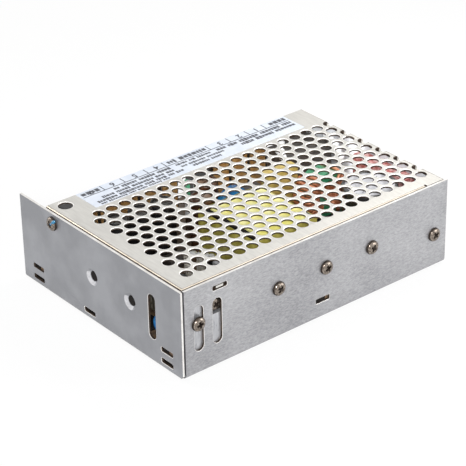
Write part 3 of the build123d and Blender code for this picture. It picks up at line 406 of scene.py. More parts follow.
def copy_of(name):
    """Merged copy of a solid's mesh."""
    bm = bmesh.new()
    bm.from_mesh(nodes[name].data)
    bmesh.ops.remove_doubles(bm, verts=bm.verts, dist=0.002 * MM)
    bmesh.ops.dissolve_limit(bm, angle_limit=radians(0.5), verts=bm.verts, edges=bm.edges)
    return bm


def each_once(parts):
    """Parts with each one once and in a fixed order, so that every run does the same."""
    return list(dict.fromkeys(parts))


def sharp_edges(bm, angle=50.0):
    """Edges that turn by more than an angle."""
    return [e for e in bm.edges if len(e.link_faces) == 2 and e.calc_face_angle(0) > radians(angle)]


def round_off(bm, edges, width, steps=2, finish=None, clamp=True):
    """Rounds edges; the new faces may take a material of their own."""
    made = bmesh.ops.bevel(
        bm,
        geom=edges,
        offset=width * MM,
        offset_type="OFFSET",
        segments=steps,
        profile=0.5,
        affect="EDGES",
        clamp_overlap=clamp,
        material=-1,
    )
    if finish is not None:
        for face in made["faces"]:
            face.material_index = finish
    return len(edges)


def smooth_by_angle(piece, angle=35.0, large=8.0):
    """Smooth shading; edges over an angle stay sharp, and so do those round a large flat face."""
    for polygon in piece.data.polygons:
        polygon.use_smooth = True
    bm = bmesh.new()
    bm.from_mesh(piece.data)
    wide = {face for face in bm.faces if face.calc_area() > large * MM * MM}
    for edge in bm.edges:
        limit = 1.0 if wide.intersection(edge.link_faces) else angle
        edge.smooth = len(edge.link_faces) == 2 and edge.calc_face_angle(0) < radians(limit)
    bm.to_mesh(piece.data)
    bm.free()


def cut_away(bm, cutter):
    """Cuts one bmesh out of another with an exact Boolean, and gives the result."""
    blanks = []
    for name, part in (("blank", bm), ("cutter", cutter)):
        mesh = bpy.data.meshes.new(name)
        part.to_mesh(mesh)
        part.free()
        blanks.append(bpy.data.objects.new(name, mesh))
        bpy.context.scene.collection.objects.link(blanks[-1])
    cut = blanks[0].modifiers.new("cut", "BOOLEAN")
    cut.operation = "DIFFERENCE"
    cut.solver = "EXACT"
    cut.use_self = True
    cut.object = blanks[1]
    graph = bpy.context.evaluated_depsgraph_get()
    mesh = bpy.data.meshes.new_from_object(blanks[0].evaluated_get(graph))
    result = bmesh.new()
    result.from_mesh(mesh)
    bmesh.ops.remove_doubles(result, verts=result.verts, dist=0.004 * MM)
    for blank in blanks:
        bpy.data.objects.remove(blank)
    return result


def add_block(bm, low, high):
    """Adds a block between two corners, in millimetres, and gives its vertices."""
    block = bmesh.ops.create_cube(bm, size=1.0)["verts"]
    bmesh.ops.scale(bm, vec=[(h - l) * MM for l, h in zip(low, high)], verts=block)
    bmesh.ops.translate(bm, vec=[(h + l) / 2 * MM for l, h in zip(low, high)], verts=block)
    return block


def turned_part(profile, steps=32):
    """Closed round part: a profile of radius and height, in millimetres, spun about Z."""
    bm = bmesh.new()
    points = [bm.verts.new((r * MM, 0, h * MM)) for r, h in profile]
    edges = [bm.edges.new(pair) for pair in zip(points, points[1:])]
    bmesh.ops.spin(
        bm, geom=points + edges, cent=(0, 0, 0), axis=(0, 0, 1), angle=2 * pi, steps=steps, use_merge=True
    )
    bmesh.ops.remove_doubles(bm, verts=bm.verts, dist=0.001 * MM)
    bmesh.ops.holes_fill(bm, edges=[e for e in bm.edges if e.is_boundary], sides=0)
    bmesh.ops.recalc_face_normals(bm, faces=bm.faces)
    return bm


def merge_into(bm, part, place, towards=(0, 0, 1), turn=0.0):
    """Lays a part into a bmesh: its Z axis points towards a direction."""
    turned = Vector(towards).to_track_quat("Z", "Y").to_matrix().to_4x4()
    move = Matrix.Translation(Vector(place) * MM) @ turned @ Matrix.Rotation(radians(turn), 4, "Z")
    mesh = bpy.data.meshes.new("part")
    part.to_mesh(mesh)
    part.free()
    mesh.transform(move)
    bm.from_mesh(mesh)
    bpy.data.meshes.remove(mesh)


print("shape helpers ready")

# %% [markdown]
# ## The perforated cover
# On the real cover a punch makes each hole, round, with a soft rounded rim on the outside and a
# raw wall. The solid has six-sided holes, so a copy of it is cut again with round punches a
# hair larger, all in one mesh and one Boolean. Cutting is simpler here than building the panel
# from cells, because the last hole of every other row runs over the bend. Each face takes the
# finish of its place: the hole walls, the flange hidden behind the front wall and the steepest
# facets of the bend a dark one, painted shade; the bend's middle facets a cream one, a painted
# highlight; its nearly level facets a grey line, painted shade; the rest the flat cover finish.
# Then the rims are rounded, and the rounds take a near-white finish, a painted highlight. Tiny
# edges that the Boolean left on them are merged first, and the flat face is split along each row,
# because one face with some two hundred holes in it can tear when its rims grow.

# %% Cover with round holes
left_face = -64.5
front_face = -49.0
board = 8.8
first_hole = Vector((-51.04, 16.83))
hole_pitch = 6.0
row_pitch = 5.1
hole_radius = 2.28
hole_rows, hole_columns = 12, 20
sheet_top = 36.0
access_hole = (-57.0, 29.7)
access_radius = 2.85


def add_punch(bm, place, radius, sides):
    """Adds an upright round punch through the panel, in millimetres."""
    bmesh.ops.create_cone(
        bm, cap_ends=True, segments=sides, radius1=radius * MM, radius2=radius * MM, depth=3.6 * MM,
        matrix=Matrix.Translation(Vector((*place, sheet_top)) * MM),
    )


punches = bmesh.new()
for row in range(hole_rows):
    shift = -hole_pitch / 2 if row % 2 else 0.0
    for column in range(hole_columns):
        x, y = first_hole.x + shift + column * hole_pitch, first_hole.y - row * row_pitch
        add_punch(punches, (x, y), hole_radius, 28)
add_punch(punches, access_hole, access_radius, 36)
bm = cut_away(copy_of("top_cover"), punches)
flat, highlight_rim, shade_wall, highlight_fold, shade_line = range(5)
# Hole walls, the flange hidden behind the front wall and the steepest facets of the bend take the dark
# finish, painted shade; the bend's middle facets the cream finish, a painted highlight; its nearly level
# facets the grey line, painted shade.
for face in bm.faces:
    middle = face.calc_center_median() / MM
    slant = abs(face.normal.z)
    hidden = min(face.normal.x, face.normal.y) < -0.9 and middle.y > front_face + 0.7
    if slant < 0.1 and (hidden or max(v.co.z for v in face.verts) > (sheet_top - 0.1) * MM):
        face.material_index = shade_wall
    elif 0.1 < slant < 0.995 and middle.z > sheet_top - 2.0:
        face.material_index = shade_line if slant > 0.93 else highlight_fold if slant > 0.8 else shade_wall
on_top = (sheet_top - 0.01) * MM
rim_corners = each_once(v for e in sharp_edges(bm) for v in e.verts if v.co.z > on_top)
bmesh.ops.remove_doubles(bm, verts=rim_corners, dist=0.1 * MM)
for row in range(hole_rows):
    panel = [f for f in bm.faces if f.normal.z > 0.999 and f.calc_center_median().z > on_top]
    parts = panel + each_once(e for f in panel for e in f.edges)
    parts += each_once(v for f in panel for v in f.verts)
    row_line = Vector((0, first_hole.y - row * row_pitch, sheet_top)) * MM
    bmesh.ops.bisect_plane(bm, geom=parts, dist=0.02 * MM, plane_co=row_line, plane_no=(0, 1, 0))
sharp = sharp_edges(bm)
rims = []
for edge in sharp:
    a, b = (v.co / MM for v in edge.verts)
    along_flat = left_face + 3.0 < min(a.x, b.x) and max(a.x, b.x) < 60.5
    across_flat = -43.0 < min(a.y, b.y) and max(a.y, b.y) < 33.2
    if along_flat and across_flat and min(a.z, b.z) > sheet_top - 0.01:
        rims.append(edge)
wide = set(rims)
others = [e for e in sharp if e not in wide]
# The new faces of the rounds take the near-white finish: a painted highlight.
rounded = round_off(bm, rims, 0.26, 2, highlight_rim, clamp=False)
rounded += round_off(bm, [e for e in others if e.is_valid], 0.1, 1, highlight_rim)
cover_finishes = (cover_metal, highlight_edge_metal, shade_edge_metal, bend_highlight_metal, bend_shade_line_metal)
cover = put("cover_sheet", bm, cover_finishes)
smooth_by_angle(cover)
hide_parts("top_cover")
print("cover faces:", len(cover.data.polygons), "edges rounded:", rounded)

# %% [markdown]
# ## The tray
# A press brake folds the tray, so its end plate and its front wall meet in an open seam at the
# corner. The solid has them joined, so a copy gets that seam as a narrow cut. Then the ends of
# the stamped slots are rounded, since a punch never has sharp corners, and at last every edge
# gets its small round, a wider one round the slots; the rounds, and the faces at the rims of the
# walls, take a near-white finish, a painted highlight. The cut walls inside the slots and the
# walls of the seam take a dark brown finish, painted shade. The end plate takes a darker copy of
# the tray's metal, with soft patches in place of the rolled lines: painted shade. On a pressed
# dimple, the cone faces turned up and forward, towards the light, take a bright finish, a painted
# highlight, and the others the end plate's painted shade.

# %% Tray with a seam and soft edges
seam = bmesh.new()
add_block(seam, (left_face + 0.75, front_face - 1.0, 0.9), (left_face + 1.2, front_face + 0.75, 37.0))
bm = cut_away(copy_of("base_tray"), seam)


def slot_corners(bm, axis, outer, low, high):
    """Edges straight through a sheet wall that are corners of a slot inside the given bounds."""
    found = []
    for edge in sharp_edges(bm):
        a, b = (v.co / MM for v in edge.verts)
        along = abs(a[axis] - b[axis]) > 0.98 * (a - b).length
        if along and min(a[axis], b[axis]) < outer + 0.1 and max(a[axis], b[axis]) < outer + 1.2:
            if all(l < c < h for l, c, h in zip(low, a, high)):
                found.append(edge)
    return found


corners = slot_corners(bm, 0, left_face, (-70, -47, 1.8), (-60, 47, 34.0))
corners += slot_corners(bm, 1, front_face, (-60, -55, 3.0), (60, -45, 34.8))
round_off(bm, corners, 0.55, 4)
# Index 3, end, is the end plate's darker copy of the tray metal: painted shade.
highlight_edge, shade_cut, end, highlight_cone = range(1, 5)
# Seam and cut walls take painted shade; faces at the rims a painted highlight; on a dimple, cone faces turned
# towards the light a painted highlight, and the rest painted shade.
for face in bm.faces:
    middle = face.calc_center_median() / MM
    through_end = middle.x < left_face + 0.95 and abs(face.normal.x) < 0.9
    through_front = middle.y < front_face + 0.95 and abs(face.normal.y) < 0.2
    if left_face + 0.74 < middle.x < left_face + 1.25 and middle.y < front_face + 0.8:
        face.material_index = shade_cut
    elif through_end or through_front:
        on_rim = middle.z > 35.9 or middle.z < 0.1 or abs(middle.y) > 48.9 or middle.x > 64.4
        on_cone = through_end and abs(middle.z - 19.4) < 3.5 and abs(face.normal.x) > 0.1
        to_light = face.normal.z - face.normal.y > 0.35
        highlight_or_shade = highlight_cone if to_light else end
        face.material_index = highlight_edge if on_rim else highlight_or_shade if on_cone else shade_cut
    # The end plate's outer face takes the darker copy: painted shade.
    elif face.normal.x < -0.5:
        face.material_index = end
sharp = sharp_edges(bm)
outer = []
for edge in sharp:
    a, b = (v.co / MM for v in edge.verts)
    end_slot = max(a.x, b.x) < left_face + 0.02 and -47.5 < a.y < 30.0 and 1.6 < a.z < 35.0
    front_slot = max(a.y, b.y) < front_face + 0.02 and -61.5 < a.x < 61.5 and 1.6 < a.z < 35.0
    if end_slot or front_slot:
        outer.append(edge)
wide = set(outer)
inner = [e for e in sharp if e not in wide]
# The rounds take the near-white finish: a painted highlight.
rounded = round_off(bm, outer, 0.16, 2, highlight_edge, clamp=False)
rounded += round_off(bm, [e for e in inner if e.is_valid], 0.12, 2, highlight_edge)
tray_finishes = (tray_metal, tray_highlight_edge, shade_edge_metal, end_plate_shade_metal, cone_highlight_metal)
tray = put("tray_sheet", bm, tray_finishes)
smooth_by_angle(tray)
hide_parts("base_tray")
print("tray faces:", len(tray.data.polygons), "corners:", len(corners), "edges rounded:", rounded)


# %% [markdown]
# ## Screws
# A pan head is a low dome on a short wall, with a cross recess. Its profile is spun round, and
# the recess is cut by two crossed tapered blocks. The faces of the recess and of the side wall
# take a second, darker finish: painted shade. One screw is made at a time and laid at the
# place of the solid that it stands for.

# %% Pan-head screws
def pan_head(radius, height, flat=False):
    """Pan head that stands on the origin, with its dome up."""
    dome = [(0.0, 1.0), (0.5, 0.97), (0.78, 0.86), (0.93, 0.62), (1.0, 0.32), (1.0, 0.08), (0.95, 0.0)]
    if flat:
        dome = [(0.0, 1.0), (0.86, 1.0), (0.96, 0.88), (1.0, 0.7), (1.0, 0.08), (0.96, 0.0)]
    head = turned_part([(r * radius, h * height) for r, h in dome])
    cross = bmesh.new()
    for angle in (0, 90):
        arm = bmesh.ops.create_cube(cross, size=1.0)["verts"]
        bmesh.ops.scale(cross, vec=(radius * 1.4 * MM, radius * 0.4 * MM, height * 1.3 * MM), verts=arm)
        bmesh.ops.translate(cross, vec=(0, 0, height * MM), verts=arm)
        for vert in arm:
            if vert.co.z < height * MM:
                vert.co.x *= 0.45
                vert.co.y *= 0.75
        bmesh.ops.rotate(cross, matrix=Matrix.Rotation(radians(angle), 3, "Z"), verts=arm)
    head = cut_away(head, cross)
    # Faces of the cross recess and of the side wall take the second, darker finish: painted shade.
    for face in head.faces:
        middle = face.calc_center_median() / MM
        reach = middle.xy.length / radius
        steep = face.normal.z < 0.62
        in_cross = reach < 0.62 and (steep or middle.z < 0.8 * height)
        on_wall = steep and reach > 0.9 and middle.z > 0.1 * height
        if in_cross or on_wall:
            face.material_index = 1
    return head


print("pan head ready")

# %% Screws of the case
head_radius = 2.8
head_height = 1.6
bm = bmesh.new()
merge_into(bm, pan_head(head_radius, head_height), (left_face, 27.6, 32.0), (-1, 0, 0), 20)
merge_into(bm, pan_head(head_radius, head_height), (57.9, front_face, 14.7), (0, -1, 0), 35)
case_screws = put("case_screw_heads", bm, (screw_metal, screw_shade))
smooth_by_angle(case_screws)
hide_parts("cover_screws")

wall_places = ((-57.2, 12), (-20.2, 50), (2.7, 25), (25.4, 65))
bm = bmesh.new()
for x, turn in wall_places:
    merge_into(bm, pan_head(head_radius, head_height), (x, front_face, 21.1), (0, -1, 0), turn)
wall_screws = put("wall_screw_heads", bm, (screw_metal, screw_shade))
smooth_by_angle(wall_screws)
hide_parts("device_screws")

strip_places = (37.49, -45.85, -36.36, -26.85, -17.35, 18.49, 27.99)
bm = bmesh.new()
for x in strip_places:
    merge_into(bm, pan_head(2.9, 2.2, flat=True), (x, 40.9, 18.2), turn=x * 7)
    shank = turned_part([(0, 18.3), (1.45, 18.3), (1.45, 13.0), (1.1, 12.7), (0, 12.7)], 16)
    merge_into(bm, shank, (x, 40.9, 0))
strip_screws = put("terminal_screw_heads", bm, (screw_metal, screw_shade))
smooth_by_angle(strip_screws)
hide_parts("terminal_screws")
print("screw heads:", 2 + len(wall_places) + len(strip_places))

# %% [markdown]
# ## Behind the slots
# The second front slot shows the head of a small dark screw on its clamp bar, over the bright
# heat plate. Black patches lie behind the holes and slots of the end plate, behind the small front
# slot, and on the board near the end plate: painted shade, for the shade in there.

# %% Clamp bar and its screw
bm = bmesh.new()
add_block(bm, (-51.6, -46.2, 20.4), (-44.2, -45.0, 29.6))
round_off(bm, sharp_edges(bm), 0.25)
clamp = put("clamp_bar", bm, (dark_steel,))
smooth_by_angle(clamp)
bm = bmesh.new()
merge_into(bm, pan_head(2.5, 1.5), (-47.8, -46.2, 24.5), (0, -1, 0), 30)
clamp_screw = put("clamp_screw", bm, (screw_metal, screw_shade))
smooth_by_angle(clamp_screw)
print("clamp screw:", len(clamp_screw.data.polygons), "faces")

# %% Painted shade patches
# Black discs and strips behind holes and slots, and on the board: painted shade.
bm = bmesh.new()
for y in (-19.1, 3.9):
    patch = turned_part([(0, 0.3), (3.3, 0.3), (3.4, 0.2), (3.4, 0.0), (0, 0.0)], 32)
    merge_into(bm, patch, (-63.2, y, 19.4), (-1, 0, 0))
for y, z in ((39.6, 3.5), (6.6, 3.5), (-40.0, 3.2)):
    add_block(bm, (-63.2, y - 4.0, z - 1.6), (-62.95, y + 4.0, z + 1.6))
for y, z in ((39.6, 7.9), (-40.0, 7.9)):
    add_block(bm, (-63.85, y - 0.4, z - 1.0), (-63.65, y + 3.2, z + 1.0))
add_block(bm, (-1.6, -48.4, 7.0), (2.8, -48.1, 8.9))
add_block(bm, (-61.9, -26.2, board), (-54.1, -14.0, board + 0.2))
patches = put("shade_patches", bm, (shade_black,))
print("patches:", len(patches.data.polygons), "faces")

# %% [markdown]
# The access hole and the back rows of holes show black moulded edges, the ends of the terminal
# rows: a stepped fin, and an empty cell with a bare strip. A black block lies along the edge of
# the transformer's bobbin: the bobbin's edge, with painted shade for the shade in the step beside
# it. Blocks are enough here.

# %% Ends of the terminal rows, and the edge of the bobbin
bm = bmesh.new()
add_block(bm, (-50.9, 31.7, 26.9), (-49.8, 36.8, 33.0))
add_block(bm, (-50.9, 36.8, 26.9), (-49.8, 39.5, 32.4))
add_block(bm, (-50.9, 39.5, 26.9), (-49.8, 43.0, 29.9))
add_block(bm, (-50.9, 43.0, 26.9), (-49.8, 46.0, 27.7))
add_block(bm, (-11.8, 31.7, board), (-2.6, 47.0, 24.0))
add_block(bm, (-11.8, 31.7, 24.0), (-10.9, 47.0, 27.3))
add_block(bm, (-3.5, 31.7, 24.0), (-2.6, 47.0, 27.3))
ends = put("terminal_end_pieces", bm, (moulded_black,))

# Black block at the bobbin's edge: the edge itself, and painted shade for the step beside it.
bm = bmesh.new()
add_block(bm, (-17.4, -32.8, 32.4), (-15.4, -0.6, 33.5))
round_off(bm, sharp_edges(bm), 0.3)
put("bobbin_edge", bm, (shade_black,))

bm = bmesh.new()
add_block(bm, (-10.7, 30.6, board), (-3.7, 31.6, 28.3))
round_off(bm, sharp_edges(bm), 0.2)
put("blank_strip", bm, (strip_metal,))
print("end pieces:", len(ends.data.polygons), "faces")

# %% [markdown]
# ## Paint mark
# A dab of blue lacquer seals the screw of the end plate. It lies over the rim of the head and runs
# onto the plate: a flat ball, with noise to make its outline uneven.

# %% Blue lacquer on one screw
bm = bmesh.new()
dab = bmesh.ops.create_icosphere(bm, subdivisions=3, radius=1.0)["verts"]
for vert in dab:
    uneven = 1.0 + 0.3 * noise.noise(vert.co * 2.1)
    vert.co = Vector((vert.co.x * 0.65, vert.co.y * 0.7 * uneven, vert.co.z * 2.2 * uneven))
bmesh.ops.rotate(bm, matrix=Matrix.Rotation(radians(48), 3, "X"), verts=dab)
bmesh.ops.translate(bm, vec=(left_face - 0.9, 26.4, 33.0), verts=dab)
bmesh.ops.scale(bm, vec=(MM, MM, MM), verts=dab)
lacquer = put("lacquer_dab", bm, (paint_blue,))
smooth_by_angle(lacquer, 80)
print("lacquer dab:", len(lacquer.data.polygons), "faces")

# %% [markdown]
# ## Wire on the chokes
# The solids stand in for the windings with one block each. Here every turn of enamelled wire is a
# closed loop: a small circle is spun round, and its path is then squared, as wire is that is
# pulled tight over a core with a square section. The turns are set round the core, each a little
# slanted, so that they fan out on the outside and crowd together in the bore.

# %% One turn of wire, and a winding of many
def wire_turn(radial, axial, wire):
    """Closed loop of wire with rounded corners, in the plane of X and Z, round the origin."""
    bm = bmesh.new()
    first_radius = 10
    section = bmesh.ops.create_circle(bm, segments=6, radius=wire / 2)
    bmesh.ops.translate(bm, vec=(first_radius, 0, 0), verts=section["verts"])
    ring = section["verts"] + each_once(e for v in section["verts"] for e in v.link_edges)
    bmesh.ops.spin(bm, geom=ring, cent=(0, 0, 0), axis=(0, 1, 0), angle=2 * pi, steps=20, use_merge=True)
    bmesh.ops.remove_doubles(bm, verts=bm.verts, dist=0.001)
    for vert in bm.verts:
        out = Vector((vert.co.x, 0, vert.co.z)).normalized()
        squared = Vector((radial * abs(out.x) ** 0.45, 0, axial * abs(out.z) ** 0.45))
        squared.x *= 1 if out.x >= 0 else -1
        squared.z *= 1 if out.z >= 0 else -1
        vert.co += squared - first_radius * out
    bmesh.ops.scale(bm, vec=(MM, MM, MM), verts=bm.verts)
    bmesh.ops.recalc_face_normals(bm, faces=bm.faces)
    return bm


def winding(outer, inner, width, wire, angles, slant):
    """Turns of wire round a ring core that lies flat round the origin."""
    bm = bmesh.new()
    radial, axial = (outer - inner) / 4 + wire / 2 + 0.1, width / 2 + wire / 2 + 0.1
    for angle in angles:
        turn = wire_turn(radial, axial, wire)
        bmesh.ops.rotate(turn, matrix=Matrix.Rotation(radians(slant), 3, "X"), verts=turn.verts)
        bmesh.ops.translate(turn, vec=((outer + inner) / 4 * MM, 0, 0), verts=turn.verts)
        merge_into(bm, turn, (0, 0, 0), turn=angle)
    return bm


bm = bmesh.new()
sides = [side + (i - 5.5) * 10.0 for side in (0, 180) for i in range(12)]
merge_into(bm, winding(19.0, 11.0, 8.0, 1.6, sides, 5), (40.31, -3.92, 21.6), (0, -1, 0))
filter_turns = put("filter_choke_turns", bm, (copper_wire,))
smooth_by_angle(filter_turns, 80)
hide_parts("choke_windings")

bm = bmesh.new()
fan = [38 + i * 14.2 for i in range(18)]
merge_into(bm, winding(16.0, 8.0, 7.0, 1.5, fan, 4), (-43.99, -16.02, 14.4))
output_turns = put("output_choke_turns", bm, (dark_wire,))
smooth_by_angle(output_turns, 80)
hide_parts("output_choke_winding")
print("turns:", len(sides), "and", len(fan), "faces:", len(filter_turns.data.polygons))


# %% [markdown]
# ## Capacitor cans
# A can is a deep-drawn aluminium cup in a shrunk plastic sleeve. The sleeve rolls over the rim and
# leaves a bare round top, which is scored with a cross, so that it can burst safely. The profile
# with its rolled rim and its crimped groove is spun, and the score is cut in.

# %% Round cans
def can(radius, height):
    """Can that stands on the origin: its sleeve is finish 0, its bare top 1 and its score 2."""
    bare = radius - 1.5
    profile = [(0.0, height - 0.45), (bare, height - 0.45), (bare + 0.1, height - 0.12)]
    profile += [(radius - 0.9, height), (radius - 0.3, height - 0.18), (radius, height - 0.9)]
    profile += [(radius, 3.4), (radius - 0.5, 2.8), (radius, 2.2), (radius, 0.4)]
    profile += [(radius - 0.4, 0.0), (0.0, 0.0)]
    part = turned_part(profile, 36)
    cross = bmesh.new()
    reach = 0.66 * radius
    add_block(cross, (-reach, -0.14, height - 0.62), (reach, 0.14, height + 1))
    add_block(cross, (-0.14, -reach, height - 0.62), (0.14, reach, height + 1))
    part = cut_away(part, cross)
    # Faces of the score take finish 2, which every call gives as a dark finish: painted shade in the grooves.
    for face in part.faces:
        middle = face.calc_center_median() / MM
        if middle.xy.length < bare and middle.z > height - 0.7:
            face.material_index = 1 if face.normal.z > 0.5 and middle.z > height - 0.5 else 2
    return part


def cans(name, node, materials, places):
    """Cans at their places, as one piece that replaces a node: radius, height, place, direction."""
    bm = bmesh.new()
    for radius, height, place, towards in places:
        merge_into(bm, can(radius, height), place, towards, 25)
    piece = put(name, bm, materials)
    smooth_by_angle(piece)
    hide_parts(node)
    return len(piece.data.polygons)


up = (0, 0, 1)
faces = cans(
    "bulk_can", "bulk_capacitor", (sleeve_black, can_metal, screw_shade),
    [(11.0, 25.0, (43.02, -28.91, board), up)],
)
faces += cans(
    "output_cans", "output_capacitors", (sleeve_black, sleeve_grey, screw_shade),
    [(5.0, 21.2, (x, 17.64, board), up) for x in (-42.4, -31.6, -20.8)],
)
faces += cans(
    "brown_cans", "brown_capacitors", (sleeve_brown, top_brown, screw_shade),
    [(4.8, 24.2, (-10.32, 6.61, board), up), (4.8, 24.2, (-1.29, 15.68, board), up)],
)
faces += cans(
    "lying_can", "blue_capacitor", (sleeve_blue, screw_shade, screw_shade),
    [(4.0, 8.0, (-52.31, -30.38, 12.8), (-1, 0, 0))],
)
print("faces of the cans:", faces)

# %% [markdown]
# ## Small parts and glue
# A few pale resistors stand between the choke and the transformer, and white silicone glue holds
# the tall parts to each other. A resistor is spun from a dog-bone profile, with a thin lead beside
# it. The glue is a string of soft beads of uneven size, laid from one part's edge to the next.

# %% Resistors
resistor_places = ((-24.0, -1.2, 7.6), (-21.2, -5.4, 8.4), (-27.2, -6.2, 7.0), (-24.4, -10.4, 8.0))
bm = bmesh.new()
for x, y, height in resistor_places:
    body = [(0.0, height), (0.3, height), (0.3, height - 0.4), (0.95, height - 0.5), (1.2, height - 1.0)]
    body += [(1.0, height - 1.7), (1.0, 2.2), (1.2, 1.5), (0.95, 1.0), (0.3, 0.9), (0.3, 0.0), (0.0, 0.0)]
    merge_into(bm, turned_part(body, 16), (x, y, board))
    lead = turned_part([(0, height), (0.25, height - 0.1), (0.25, 0), (0, 0)], 8)
    merge_into(bm, lead, (x - 1.7, y, board))
    link = turned_part([(0, 2.0), (0.25, 1.9), (0.25, 0), (0, 0)], 8)
    merge_into(bm, link, (x - 1.9, y, board + height - 0.25), (1, 0, 0))
resistors = put("standing_resistors", bm, (resistor_pale,))
smooth_by_angle(resistors)
print("resistors:", len(resistor_places), "faces:", len(resistors.data.polygons))


# %% Glue
def glue_string(bm, route, size, seed):
    """Beads of glue along straight runs between places, in millimetres."""
    chance = random.Random(seed)
    for start, end in zip(route, route[1:]):
        start, end = Vector(start), Vector(end)
        steps = max(2, int((end - start).length / (0.8 * size)))
        for step in range(steps):
            place = start.lerp(end, step / steps)
            wide = size * chance.uniform(0.8, 1.25)
            bead = bmesh.ops.create_icosphere(bm, subdivisions=2, radius=wide / 2)["verts"]
            bmesh.ops.scale(bm, vec=(1.0, 1.0, 0.7), verts=bead)
            lift = Vector((chance.uniform(-0.3, 0.3), chance.uniform(-0.3, 0.3), 0.25 * wide))
            bmesh.ops.translate(bm, vec=place + lift, verts=bead)
            bmesh.ops.scale(bm, vec=(MM, MM, MM), verts=bead)


bm = bmesh.new()
glue_string(bm, [(45.5, 26.2, 30.2), (39.0, 19.4, 30.8), (34.6, 12.4, 31.4), (33.2, 9.0, 31.8)], 3.4, 3)
glue_string(bm, [(60.8, 15.5, 31.0), (59.8, 11.0, 31.6), (57.0, 6.0, 32.2), (50.6, -4.6, 31.4)], 3.0, 5)
glue_string(bm, [(-8.0, 22.0, 30.0), (-6.0, 20.2, 31.5), (-5.6, 18.5, 32.2)], 1.8, 8)
glue_string(bm, [(-24.4, -2.0, 16.4), (-22.4, -6.0, 16.6), (-19.2, -13.0, 17.5)], 3.0, 11)
glue = put("glue_beads", bm, (glue_white,))
smooth_by_angle(glue, 80)
print("glue faces:", len(glue.data.polygons))

# %% [markdown]
# ## The label
# The real label is a long printed film: a row of cells that name the terminals, and lines of small
# print under it. Here the cells hold plain numbers, and the lines are broken grey bars, so that
# the label keeps its look and says nothing. The print is laid on as very thin pieces. It reads
# from the terminal side, so numbers are turned by half a turn.

# %% Label print
label_top = 36.15
ink_rise = 0.02


def ink_line(bm, right, left, y, tall, chance, gap=0.22):
    """Line of broken bars from right to left, as words of short blocks, in millimetres."""
    x = right
    while x > left + 2.0:
        for _ in range(chance.randint(3, 9)):
            length = chance.uniform(0.35, 0.8) * tall
            if x - length < left:
                break
            high = tall * chance.choice((0.72, 0.72, 1.0, 0.86))
            add_block(bm, (x - length, y - high / 2, label_top), (x, y + high / 2, label_top + ink_rise))
            x -= length + gap
        x -= 0.55 * tall


chance = random.Random(21)
bm = bmesh.new()
for x in (41.4, 32.7, 23.0, 12.7, -9.1, -17.9, -29.0, -38.6):
    add_block(bm, (x - 0.2, 29.8, label_top), (x + 0.2, 33.6, label_top + ink_rise))
add_block(bm, (-48.6, 29.55, label_top), (52.9, 29.95, label_top + ink_rise))
for right, left in ((52.4, 42.4), (11.4, -7.6), (-40.0, -48.6)):
    ink_line(bm, right, left, 31.8, 2.7, chance, 0.35)
for right, left, y, tall in (
    (52.4, 14.0, 28.0, 2.1), (11.0, -6.0, 28.2, 1.6), (-9.0, -36.0, 28.0, 1.9),
    (52.4, 24.0, 25.5, 2.0), (16.0, -6.0, 25.9, 1.5), (-9.0, -44.0, 25.6, 1.7),
    (13.0, -2.0, 23.7, 1.6), (-6.0, -47.0, 23.4, 1.7), (-14.0, -47.0, 21.6, 1.2),
):
    ink_line(bm, right, left, y, tall, chance)
label_bars = put("label_bars", bm, (print_grey,))

numbers = "1234567"
bm = bmesh.new()
for number, x in zip(numbers, (37.2, 28.5, 18.7, -12.9, -23.3, -33.9, -44.0)):
    text = bpy.data.curves.new("number_" + number, "FONT")
    text.body = number
    text.size = 3.9 * MM
    text.offset = 0.1 * MM
    text.extrude = ink_rise / 2 * MM
    text.align_x = "CENTER"
    text.align_y = "CENTER"
    flat_text = bpy.data.objects.new("number_" + number, text)
    bpy.context.scene.collection.objects.link(flat_text)
    graph = bpy.context.evaluated_depsgraph_get()
    mesh = bpy.data.meshes.new_from_object(flat_text.evaluated_get(graph))
    move = Matrix.Translation(Vector((x, 31.8, label_top + ink_rise / 2)) * MM)
    mesh.transform(move @ Matrix.Rotation(pi, 4, "Z"))
    bm.from_mesh(mesh)
    bpy.data.objects.remove(flat_text)
put("label_numbers", bm, (print_grey,))
print("label print:", len(label_bars.data.polygons), "faces of bars, and", len(numbers), "numbers")

# %% [markdown]
# ## Floor and light
# The stage is as in a small studio. The key lamp stands behind the camera's shoulder, so that its
# light also goes in at the holes, and the shadow falls away behind the box. A small lamp close
# over the right end makes the cover grow brighter towards it, one at the side does so for the
# front wall, and a wide one behind lights the terminals. Two tiny lamps inside stand for the light
# that gets in there: one lies under the right half of the cover, and one shines through the film.
# The world fills the rest. Rays from the camera, and rays that metal mirrors, meet white: the
# world turns to its full strength for them, and the floor glows a little, while it still takes
# the shadow.

# %% Floor
floor_bm = bmesh.new()
bmesh.ops.create_grid(floor_bm, x_segments=1, y_segments=1, size=6.0)
floor_mesh = bpy.data.meshes.new("floor")
floor_bm.to_mesh(floor_mesh)
floor_bm.free()
floor = bpy.data.objects.new("floor", floor_mesh)
floor.location.z = -0.0002
bpy.context.scene.collection.objects.link(floor)
floor_material, floor_tree, floor_shader = start_material(
    "floor_white", (0.95, 0.95, 0.95, 1.0), 0.9, specular=0.0
)
floor_mesh.materials.append(floor_material)


def sees_white(tree):
    """One where a ray comes from the camera, from a mirror or through glass; else nought."""
    rays = tree.nodes.new("ShaderNodeLightPath")
    found = rays.outputs["Is Camera Ray"]
    for other in ("Is Glossy Ray", "Is Transmission Ray"):
        larger = tree.nodes.new("ShaderNodeMath")
        larger.operation = "MAXIMUM"
        tree.links.new(found, larger.inputs[0])
        tree.links.new(rays.outputs[other], larger.inputs[1])
        found = larger.outputs["Value"]
    return found


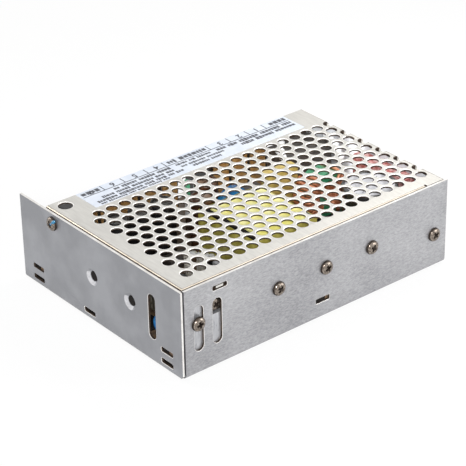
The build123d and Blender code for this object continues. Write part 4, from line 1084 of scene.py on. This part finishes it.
glow = floor_tree.nodes.new("ShaderNodeEmission")
glow.inputs["Strength"].default_value = 1.0
floor_mix = floor_tree.nodes.new("ShaderNodeMixShader")
glow_share = between(floor_tree, sees_white(floor_tree), 0.0, 1.0, 0.0, 0.86)
floor_tree.links.new(glow_share, floor_mix.inputs["Fac"])
floor_tree.links.new(floor_shader.outputs["BSDF"], floor_mix.inputs[1])
floor_tree.links.new(glow.outputs["Emission"], floor_mix.inputs[2])
floor_tree.links.new(floor_mix.outputs["Shader"], floor_tree.nodes["Material Output"].inputs["Surface"])
print("floor is", floor.dimensions.x, "m wide")


# %% Lamps and world
def soft_lamp(name, place, aim, size, power, colour=(1.0, 1.0, 1.0)):
    """Square area lamp that points at a place."""
    data = bpy.data.lights.new(name, "AREA")
    data.shape = "SQUARE"
    data.size = size
    data.energy = power
    data.color = colour
    lamp = bpy.data.objects.new(name, data)
    lamp.location = place
    lamp.rotation_mode = "QUATERNION"
    lamp.rotation_quaternion = (Vector(aim) - Vector(place)).to_track_quat("-Z", "Y")
    lamp.visible_camera = False
    bpy.context.scene.collection.objects.link(lamp)
    return lamp


soft_lamp("key_lamp", (-0.88, -1.09, 0.82), (0, 0, 0.02), 0.28, 21.0)
soft_lamp("right_lamp", (0.16, 0.03, 0.22), (0.05, 0, 0.03), 0.12, 0.22, (1.0, 0.98, 0.94))
soft_lamp("side_lamp", (0.3, -0.36, 0.12), (0.05, -0.05, 0.02), 0.2, 0.8)
soft_lamp("back_lamp", (-0.4, 1.0, 0.5), (0, 0.03, 0.02), 0.6, 5.0)
inner_lamp = soft_lamp("inner_lamp", (0.034, -0.004, 0.0348), (0.034, -0.004, 0), 0.05, 0.0036)
inner_lamp.data.shape = "RECTANGLE"
inner_lamp.data.size_y = 0.06
film_lamp = soft_lamp("film_lamp", (0.0616, 0.0, 0.030), (0.07, 0.0, 0.030), 0.008, 0.0022)
film_lamp.data.shape = "RECTANGLE"
film_lamp.data.size_y = 0.085

world = bpy.data.worlds.new("studio")
bpy.context.scene.world = world
world.use_nodes = True
sky = world.node_tree.nodes["Background"]
sky.inputs["Color"].default_value = (1.0, 1.0, 1.0, 1.0)
strength = between(world.node_tree, sees_white(world.node_tree), 0.0, 1.0, 0.38, 1.0)
world.node_tree.links.new(strength, sky.inputs["Strength"])
print("lamps:", len(bpy.data.lights))
